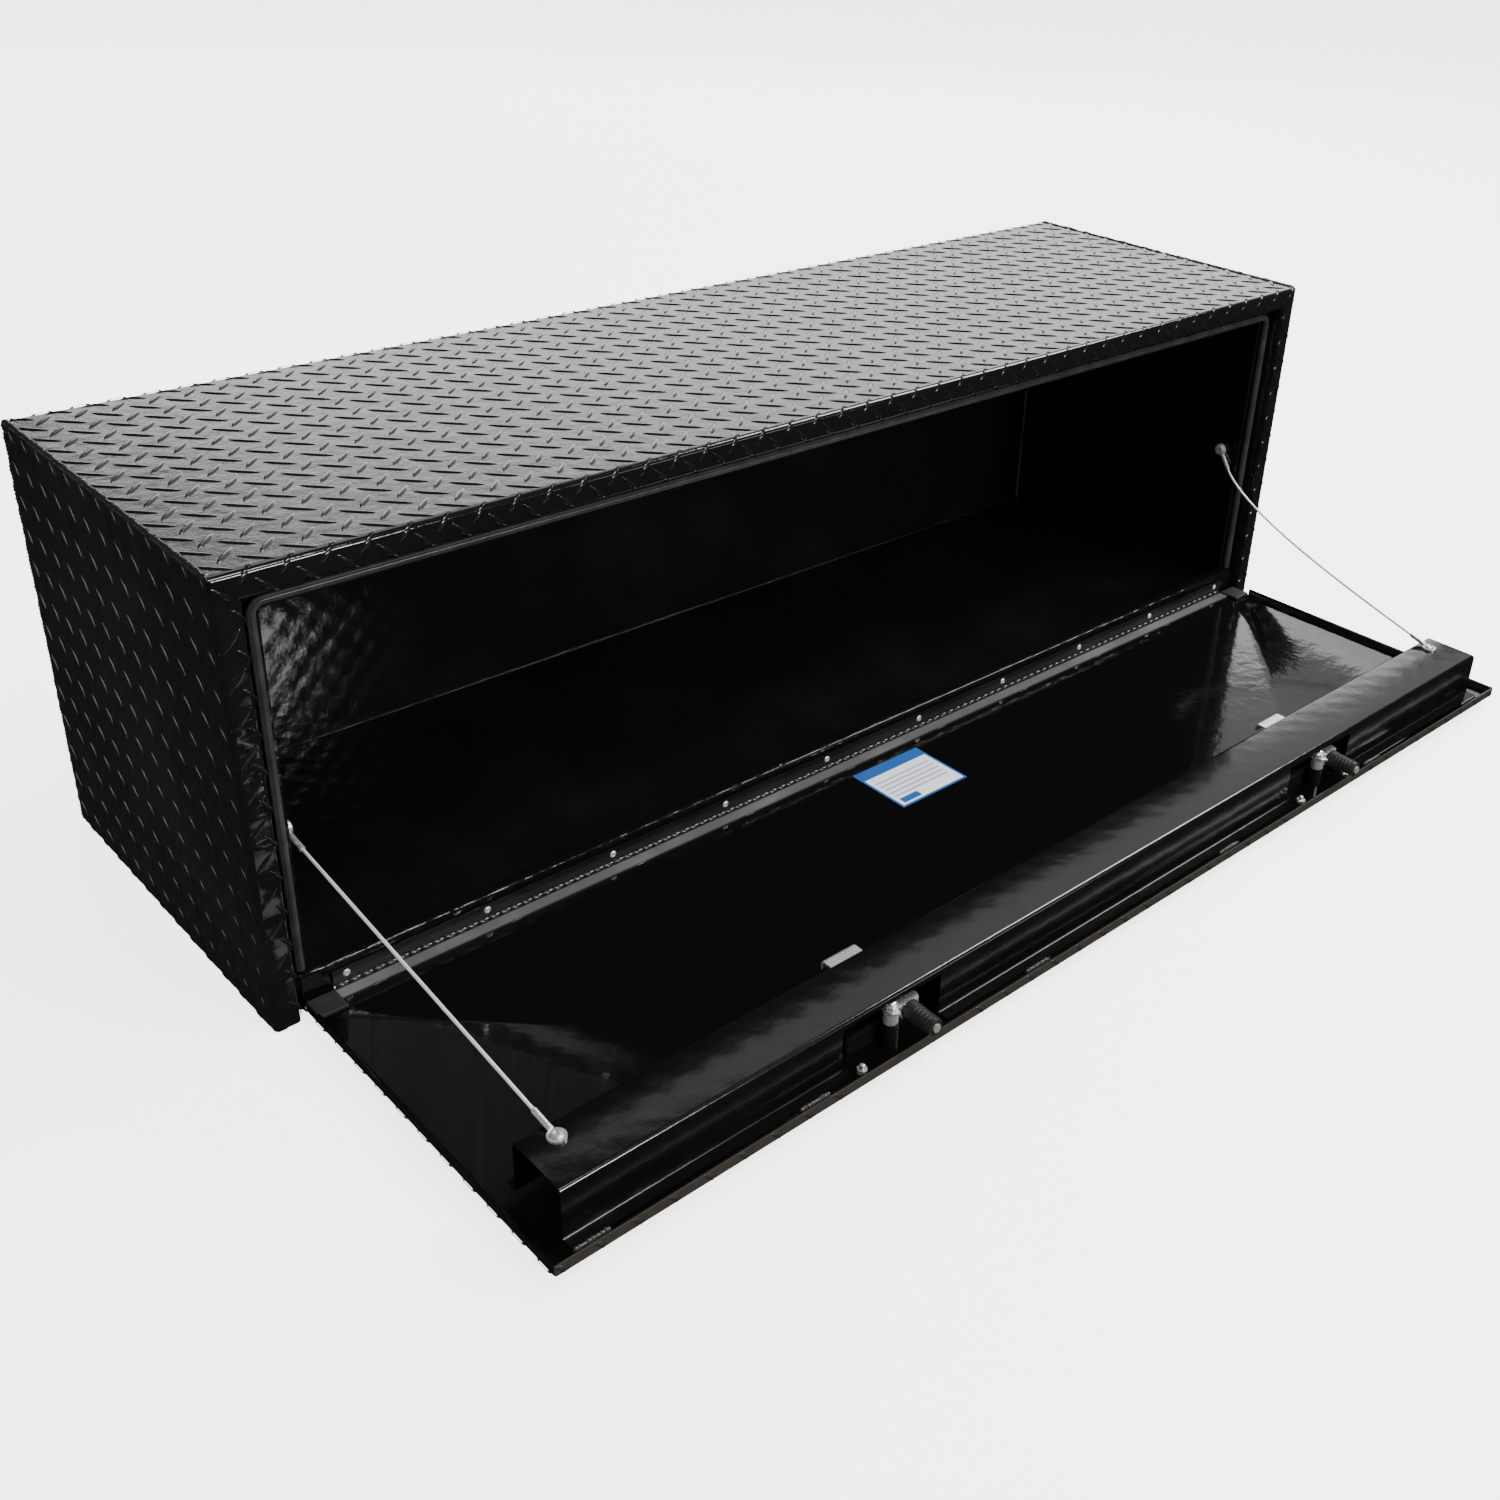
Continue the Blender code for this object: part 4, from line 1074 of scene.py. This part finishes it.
in_x, in_y, in_z = RIGHT - SHEET, BACK - SHEET, SHEET
inner = [((-in_x, in_y, in_z), (in_x, in_y, in_z))]
uprights, edges = [], []
for sign in SIDES.values():
    uprights.append(((sign * in_x, in_y, in_z), (sign * in_x, in_y, TOP - SHEET)))
    inner.append(((sign * in_x, FRONT + 0.05, in_z), (sign * in_x, in_y, in_z)))
    edge_x = sign * (RIGHT - 0.0012)
    edges.append(((edge_x, FRONT + 0.004, TOP - 0.0010), (edge_x, BACK - 0.001, TOP - 0.0010)))
    edges.append(((edge_x, BACK - 0.0010, 0.001), (edge_x, BACK - 0.0010, TOP)))
skin_top = FACE + SHEET


def stitch_row(middles, half, y):
    """Short runs along X on the door's skin, each from middle - half to middle + half."""
    return [((middle - half, y, skin_top), (middle + half, y, skin_top)) for middle in middles]


stitches = (stitch_row((-0.690, -0.455, -0.160, 0.160, 0.455, 0.690), 0.018, far_wall - 0.0125)
            + stitch_row((-0.60, -0.20, 0.20, 0.60), 0.014, near_wall + 0.0125))
beside_rivets = [(number - 4.5) * 0.1524 + 0.024 for number in range(10)]
leaf_stitches = stitch_row(beside_rivets, 0.008, HINGE_Y - 0.0157)
WELD = coat("weld_coat", grey(0.010), 0.10, 0.00010, 0.0020, 0.15)
# The upright corner welds and the door's stitches are coated a lighter grey: a painted highlight for
# the glints on their ripples.
WELD_GLINT = coat("weld_glint_coat", grey(0.040), 0.16, 0.00010, 0.0010, 0.15)
groups = {"inner_welds": (inner, 0.0018, WELD, "body", "shell_coat"),
          "corner_welds": (uprights, 0.0026, WELD_GLINT, "body", "shell_coat"),
          "edge_welds": (edges, 0.0034, WELD, "body", "shell_coat"),
          "door_stitches": (stitches, 0.0028, WELD_GLINT, "door", "door_coat"),
          "leaf_stitches": (leaf_stitches, 0.0012, WELD, "door", "door_coat")}
bend_y, bend_z = sill_low.y + 0.0017, sill_high.z - 0.0017
sill_bend = piece("sill_bend", *bead((sill_low.x + 0.001, bend_y, bend_z),
                                     (sill_high.x - 0.001, bend_y, bend_z), 0.0021, 0.034),
                  INSIDE.material, 60, "body")
for name, (runs, radius, finish, body, slot_name) in groups.items():
    beads = [bead(a, b, radius, seed=k) for k, (a, b) in enumerate(runs)]
    made = piece(name, *merged(beads), finish.material, 60, body)
    print(name, len(runs), "runs")

# %% [markdown]
# ## The label
# A printed label lies on the door near the hinge. Its print is left blank:
# a blue band and border, and grey bars where lines of print would be. All of
# it is drawn by the shader from the place on the door, in metres.

# %% Label
label_low, label_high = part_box("door_label")
LABEL = Finish("label_film", roughness=0.32, metallic=0.0, coat_weight=0.3, ior=1.45)
x, y, _ = LABEL.axes()
INK_EDGE = 0.0004
ROW_PITCH = 0.0080


def printed_box(left, right, bottom, top):
    """1 inside a rectangle whose sides are set in from the label's own by these amounts."""
    return (y.inside(label_low.y + bottom, label_high.y - top, INK_EDGE)
            * x.inside(label_low.x + left, label_high.x - right, INK_EDGE))


label_long = label_high.x - label_low.x
label_tall = label_high.y - label_low.y
band = printed_box(0.002, 0.002, label_tall - 0.0175, 0.002)
border = 1 - printed_box(0.0030, 0.0030, 0.0030, 0.0030)
rows = (y * (1 / ROW_PITCH)).maths("FRACT", y * (1 / ROW_PITCH))
bars = rows.inside(0.25, 0.62, 0.08) * printed_box(0.008, 0.010, 0.020, 0.024)
panel = printed_box(0.008, label_long - 0.036, 0.006, label_tall - 0.016)
blue, paper, grey = (0.020, 0.090, 0.300), (0.74, 0.76, 0.78), (0.12, 0.20, 0.34)
printed = LABEL.blend(bars * 0.7, paper, grey)
inked = band + border + panel
LABEL.set(base_color=LABEL.blend(inked.maths("MINIMUM", inked, 1.0), printed, blue))
dress(LABEL, "door_label")

# %% [markdown]
# ## Floor and light
# The box stands on a plain pale floor under soft light. Black gloss shows
# what it reflects more than what falls on it, so each light is a panel put
# where one kind of surface looks. The low ones behind the box grey the top
# sheet and the door. The high ones make the bends and the lugs' edges glint.
# The small one in front is seen by way of the door in the back wall.

# %% Floor and light
floor_mesh = bpy.data.meshes.new("floor")
REACH, FLOOR_Z = 30, -0.002
corners = [(-REACH, -REACH), (REACH, -REACH), (REACH, REACH), (-REACH, REACH)]
floor_mesh.from_pydata([(x, y, FLOOR_Z) for x, y in corners], [], [(0, 1, 2, 3)])
floor = bpy.data.objects.new("floor", floor_mesh)
bpy.context.collection.objects.link(floor)
FLOOR = Finish("floor_paint", base_color=(0.80, 0.80, 0.80, 1.0), roughness=0.9, specular_ior_level=0.1,
               emission_color=(1.0, 1.0, 1.0, 1.0), emission_strength=3.0)
floor_mesh.materials.append(FLOOR.material)
floor.visible_glossy = False
floor.visible_diffuse = False

world = bpy.data.worlds.new("studio")
bpy.context.scene.world = world
world.use_nodes = True
sky = world.node_tree.nodes["Background"]
path = world.node_tree.nodes.new("ShaderNodeLightPath")
mix = world.node_tree.nodes.new("ShaderNodeMix")
mix.data_type = "RGBA"
mix.inputs[6].default_value = (1.0, 1.0, 1.0, 1.0)
mix.inputs[7].default_value = (0.020, 0.020, 0.020, 1.0)
world.node_tree.links.new(path.outputs["Is Glossy Ray"], mix.inputs[0])
world.node_tree.links.new(mix.outputs[2], sky.inputs["Color"])
sky.inputs["Strength"].default_value = 1.3


def panel_light(name, place, target, size, power):
    """A rectangle of light at a place, facing a target."""
    data = bpy.data.lights.new(name, "AREA")
    data.shape = "RECTANGLE"
    data.size, data.size_y = size
    data.energy = power
    item = bpy.data.objects.new(name, data)
    item.location = place
    item.rotation_euler = (Vector(target) - Vector(place)).to_track_quat("-Z", "Y").to_euler()
    bpy.context.collection.objects.link(item)
    return item


def glow(size, radiance):
    """A panel's power for a given brightness: pi times area times radiance."""
    return math.pi * size[0] * size[1] * radiance


for name, place, target, size, radiance in (
        ("back_panel", (3.6, 4.3, 2.0), (0.0, 0.0, 0.45), (6.8, 1.7), 3.4),
        ("back_fill", (3.6, 3.0, 3.9), (0.0, -0.3, 0.1), (7.0, 3.0), 1.0),
        ("right_panel", (3.0, -0.8, 3.5), (0.0, -0.2, 0.3), (1.6, 1.6), 22.0),
        ("front_panel", (0.75, -3.7, 1.75), (-0.6, 0.2, 0.2), (0.62, 0.70), 48.0),
        ("top_panel", (0.2, -1.7, 3.6), (0.0, -0.2, 0.3), (1.0, 1.0), 18.0),
        ("front_right_panel", (2.4, -3.9, 1.0), (-0.7, -0.25, 0.2), (1.0, 0.6), 6.0),
        ("left_panel", (-4.0, 1.2, 0.7), (-0.7, 0.0, 0.25), (1.0, 1.0), 3.2)):
    panel_light(name, place, target, size, glow(size, radiance))
print("floor and seven panels")
